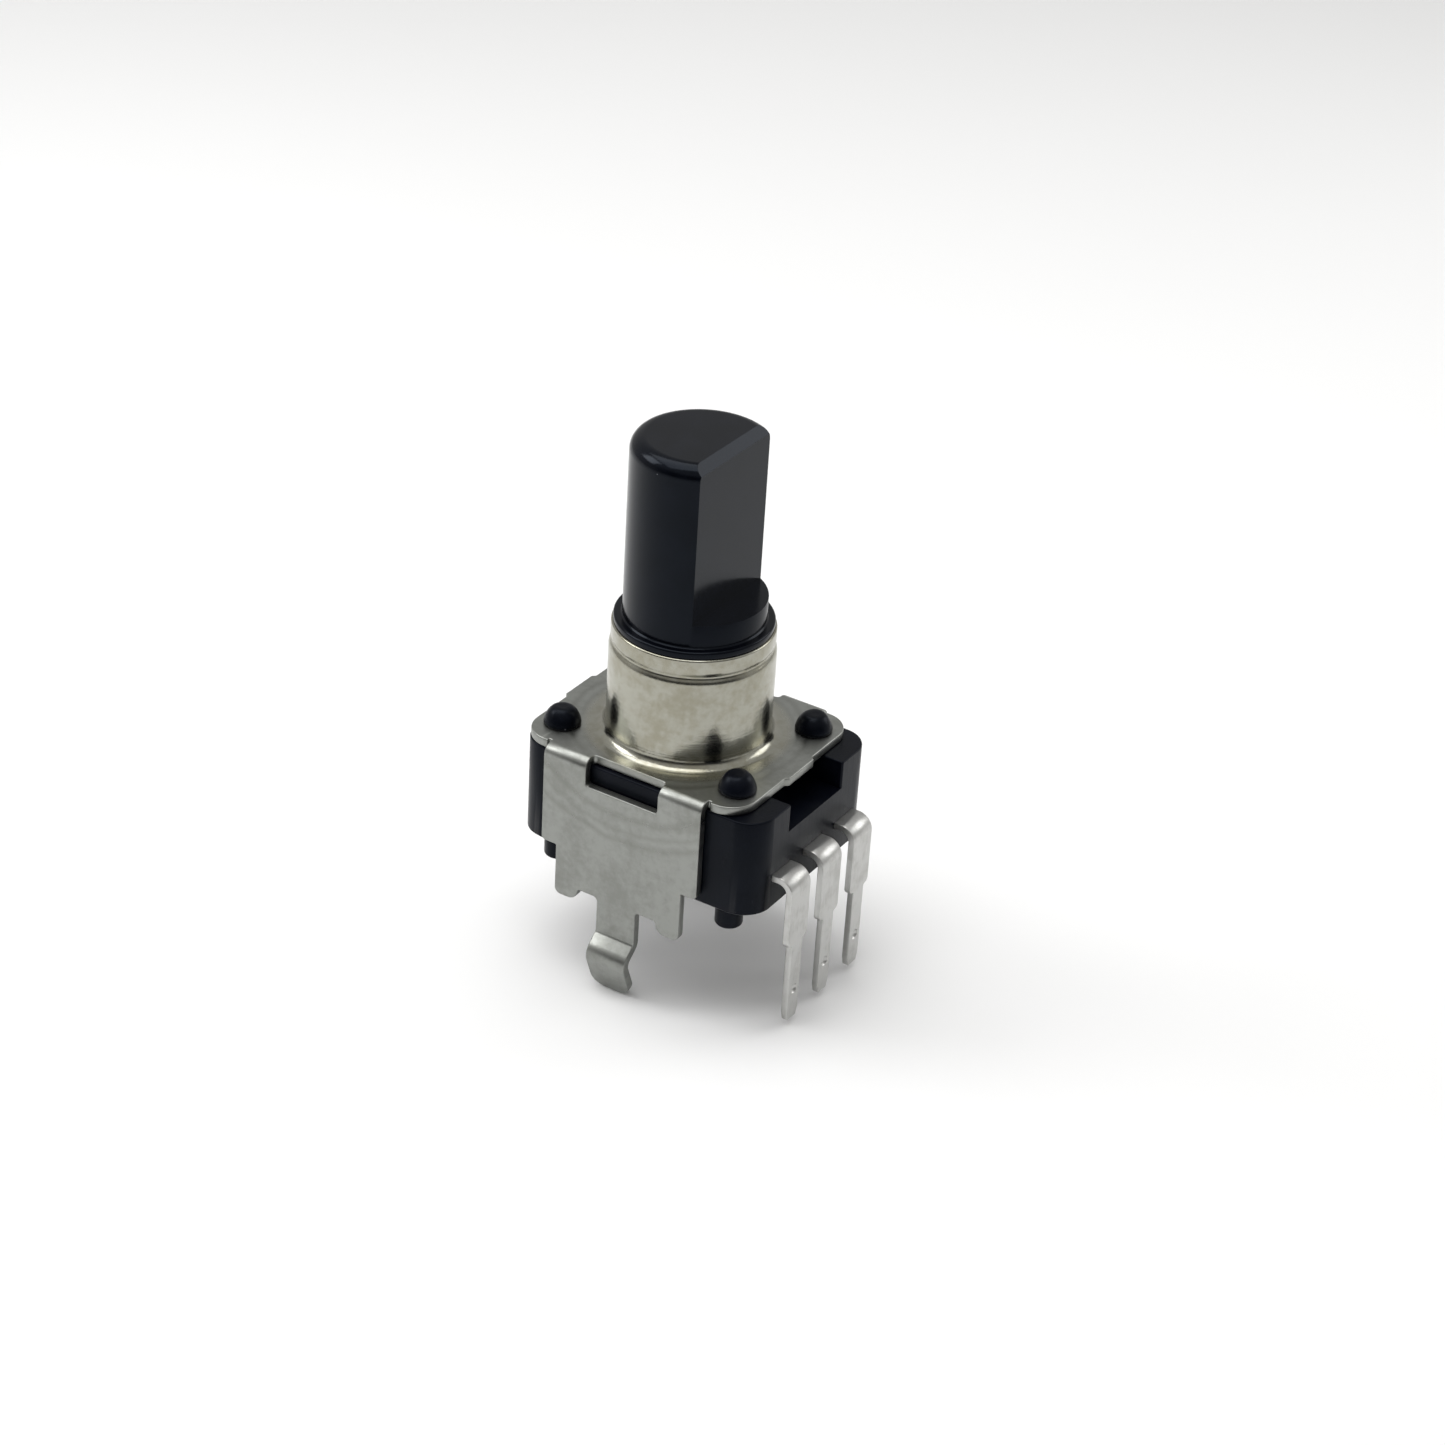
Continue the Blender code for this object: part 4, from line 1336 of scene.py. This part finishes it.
@dataclass
class Rotor:
    """Detent rotor with its waved rim, and the coded contact disc under it."""

    radius: float = 3.95
    low: float = 5.22
    rim: float = 6.02
    bore: float = 1.0
    hub: float = 2.5
    hub_top: float = 6.5
    nose: float = 1.3
    nose_low: float = 5.05
    wave_inner: float = 3.0
    depth: float = 0.14
    chamfer: float = 0.06
    detents: int = 30
    hex_flats: float = 2.68
    hex_low: float = 5.46
    disc_low: float = 5.05
    disc_sheet: float = 0.15
    disc_bore: float = 1.35
    disc_ring: float = 2.1
    disc_radius: float = 3.4
    pulses: int = 15
    finger_steps: int = 8

    def build_rotor(self) -> Object:
        """Turn the blank, wave its rim and cut the shaft's socket."""
        dip, chamfer = self.rim - self.depth, self.chamfer
        profile = [
            (self.bore, self.hub_top),
            (self.hub - chamfer, self.hub_top),
            (self.hub, self.hub_top - chamfer),
            (self.hub, dip),
            (self.wave_inner, dip - 0.001),
            (self.wave_inner, self.rim),
            (self.radius, self.rim),
            (self.radius, self.low + chamfer),
            (self.radius - chamfer, self.low),
            (self.nose, self.low),
            (self.nose, self.nose_low),
            (self.bore, self.nose_low),
        ]
        settings = {
            "Waves": float(self.detents),
            "Depth": self.depth * MM,
            "Rim Height": self.rim * MM,
            "Material": look_of(ROTOR_RESIN),
        }
        mesh = WaveRule().shape(lathe("rotor", profile, 8 * self.detents, closed=True), settings)
        socket = hexagon("socket", self.hex_flats, self.hex_low, self.hub_top + 0.5)
        mesh = carve(mesh, [(Carve.CUT, socket)])
        return add_piece("rotor_waved", mesh, Body.SPINDLE, ROTOR_RESIN, ["rotor"])

    def sector(self) -> Mesh:
        """One pitch of the disc: a finger, then a gap that only the ring crosses."""
        low, high, steps = self.disc_low, self.disc_low + self.disc_sheet, self.finger_steps
        bore, ring, rim = self.disc_bore, self.disc_ring, self.disc_radius
        pitch = math.tau / self.pulses
        work = bmesh.new()

        def face(*corners: tuple[float, int, float]) -> None:
            """A face between corners of radius, step and height."""
            verts = []
            for r, step, z in corners:
                angle = pitch * step / (2 * steps)
                place = (r * math.cos(angle) * MM, r * math.sin(angle) * MM, z * MM)
                verts.append(work.verts.new(place))
            work.faces.new(verts)

        def wall(r0: float, s0: int, r1: float, s1: int) -> None:
            """An upright face between two points of radius and step."""
            face((r0, s0, low), (r1, s1, low), (r1, s1, high), (r0, s0, high))

        for step in range(2 * steps):
            radii = [bore, ring, rim] if step < steps else [bore, ring]
            for r0, r1 in zip(radii, radii[1:]):
                for z in (low, high):
                    face((r0, step, z), (r1, step, z), (r1, step + 1, z), (r0, step + 1, z))
            for radius in (radii[0], radii[-1]):
                wall(radius, step, radius, step + 1)
        for step in (0, steps):
            wall(ring, step, rim, step)
        bmesh.ops.remove_doubles(work, verts=work.verts, dist=WELD)
        return written(work, bpy.data.meshes.new("sector"))

    def build_disc(self) -> Object:
        """Turn one sector into the whole coded disc."""
        settings = {"Sectors": self.pulses, "Material": look_of(SILVERED_BRASS)}
        mesh = RoundRule().shape(self.sector(), settings)
        return add_piece("code_disc_fingers", mesh, Body.SPINDLE, SILVERED_BRASS, ["code_disc"])


@dataclass
class Springs:
    """The strips that keep their CAD shape and take a real metal finish."""

    brushes: tuple[str, str, str] = ("brush_a", "brush_common", "brush_b")
    steel: tuple[str, str] = ("click_spring", "retaining_ring")

    def dress(self) -> None:
        """Give each carried-over node its material."""
        for names, finish in ((self.brushes, BRONZE), (self.steel, SPRING_STEEL)):
            for name in names:
                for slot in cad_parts[name].material_slots:
                    slot.material = look_of(finish)
                LOG.info("%s: CAD shape in %s", name, finish.slot)


# ---- studio


@dataclass
class Studio:
    """Pale floor, soft light and the camera. Its lengths are in metres.

    Each softbox has the way to it, its distance, its side and its power in watts.
    """

    floor_half: float = 0.6
    floor_tone: Colour = (0.94, 0.94, 0.94)
    floor_shade: float = 0.97
    camera_at: tuple[float, float, float] = (-0.10107985, -0.06178455, 0.07802536)
    azimuth: float = math.radians(-59.255)
    elevation: float = math.radians(30.853)
    roll: float = math.radians(3.643)
    lens: float = 81.879
    sensor: float = 36.0
    wall_tone: Colour = (1.0, 0.995, 0.98)
    wall_light: float = 0.55
    dark_side: float = 0.06
    flag: tuple[float, float, float] = (-0.377, 0.439, 0.815)
    flag_share: float = 0.85
    aim: tuple[float, float, float] = (0.0, 0.0, 0.008)
    softboxes: tuple[tuple, ...] = (
        ("overhead", (-0.10, 0.20, 0.97), 0.16, 0.15, 0.185),
        ("back_left", (-0.32, 0.75, 0.59), 0.17, 0.07, 0.075),
        ("right", (0.74, -0.51, 0.44), 0.17, 0.08, 0.050),
    )

    def add_floor(self) -> None:
        """A level floor just under the lowest pin."""
        work = bmesh.new()
        bmesh.ops.create_grid(work, x_segments=1, y_segments=1, size=self.floor_half)
        bmesh.ops.translate(work, vec=(0, 0, CAD_BOX[0].z - GAP * MM), verts=work.verts)
        mesh = written(work, bpy.data.meshes.new("floor"))
        surface = Surface("floor")
        shade = surface.noise(surface.scaled(surface.place, (0.02, 0.02, 0.02)), 1.0)
        tone = surface.mix(shade, self.floor_tone, tuple(self.floor_shade * v for v in self.floor_tone))
        mesh.materials.append(surface.close({"Base Color": tone, "Roughness": 0.9}))
        workpiece("floor", mesh)

    def add_room(self) -> None:
        """A pale room, darker low down on the side that the camera looks from."""
        world = bpy.data.worlds.new("room")
        bpy.context.scene.world = world
        world.use_nodes = True
        room = Graph(world.node_tree)
        x, y, z = room.split(room.node("ShaderNodeTexCoord").outputs["Generated"])
        towards = x * math.sin(self.azimuth) - y * math.cos(self.azimuth)
        dark = towards.ramp(0.05, 0.65) * z.ramp(0.60, 0.30)
        flagged = (x * self.flag[0] + y * self.flag[1] + z * self.flag[2]).ramp(0.955, 0.985)
        light = self.wall_light - dark * (self.wall_light - self.dark_side)
        inputs = {"Color": (*self.wall_tone, 1.0), "Strength": light * (1 - flagged * self.flag_share)}
        shader = room.node("ShaderNodeBackground", None, inputs)
        room.node("ShaderNodeOutputWorld", None, {"Surface": shader})

    def add_softboxes(self) -> None:
        """The square soft lights, each facing the part."""
        for name, way, distance, size, power in self.softboxes:
            light = bpy.data.lights.new(name, "AREA")
            light.shape = "SQUARE"
            light.size = size
            light.energy = power
            obj = workpiece(name, light)
            towards = Vector(way).normalized()
            obj.location = Vector(self.aim) + towards * distance
            obj.rotation_mode = "QUATERNION"
            obj.rotation_quaternion = towards.to_track_quat("Z", "Y")

    def add_camera(self) -> None:
        """The camera, at the angle the part is shown from."""
        a, e, roll = self.azimuth, self.elevation, self.roll
        back = Vector((math.sin(a) * math.cos(e), -math.cos(a) * math.cos(e), math.sin(e)))
        level = Vector((math.cos(a), math.sin(a), 0.0))
        up = back.cross(level)
        right = math.cos(roll) * level + math.sin(roll) * up
        upright = math.cos(roll) * up - math.sin(roll) * level
        camera = bpy.data.cameras.new("camera")
        camera.lens = self.lens
        camera.sensor_width = self.sensor
        camera.clip_start = 0.001
        obj = workpiece("camera", camera)
        matrix = Matrix((right, upright, back)).transposed().to_4x4()
        matrix.translation = Vector(self.camera_at)
        obj.matrix_world = matrix
        bpy.context.scene.camera = obj

    def build(self) -> None:
        """Set the floor, the room, the lights and the camera."""
        bpy.context.scene.view_settings.view_transform = "Standard"
        self.add_floor()
        self.add_room()
        self.add_softboxes()
        self.add_camera()


# ---- main


def main() -> None:
    """Build every sub-assembly in order, then the studio."""
    logging.basicConfig(level=logging.INFO, format="%(message)s")
    Bracket().build()
    mouldings = Mouldings()
    mouldings.build_housing()
    mouldings.build_base()
    mouldings.build_studs()
    Terminals().build()
    Shaft().build()
    rotor = Rotor()
    rotor.build_rotor()
    rotor.build_disc()
    Springs().dress()
    Studio().build()


if __name__ == "__main__":
    main()
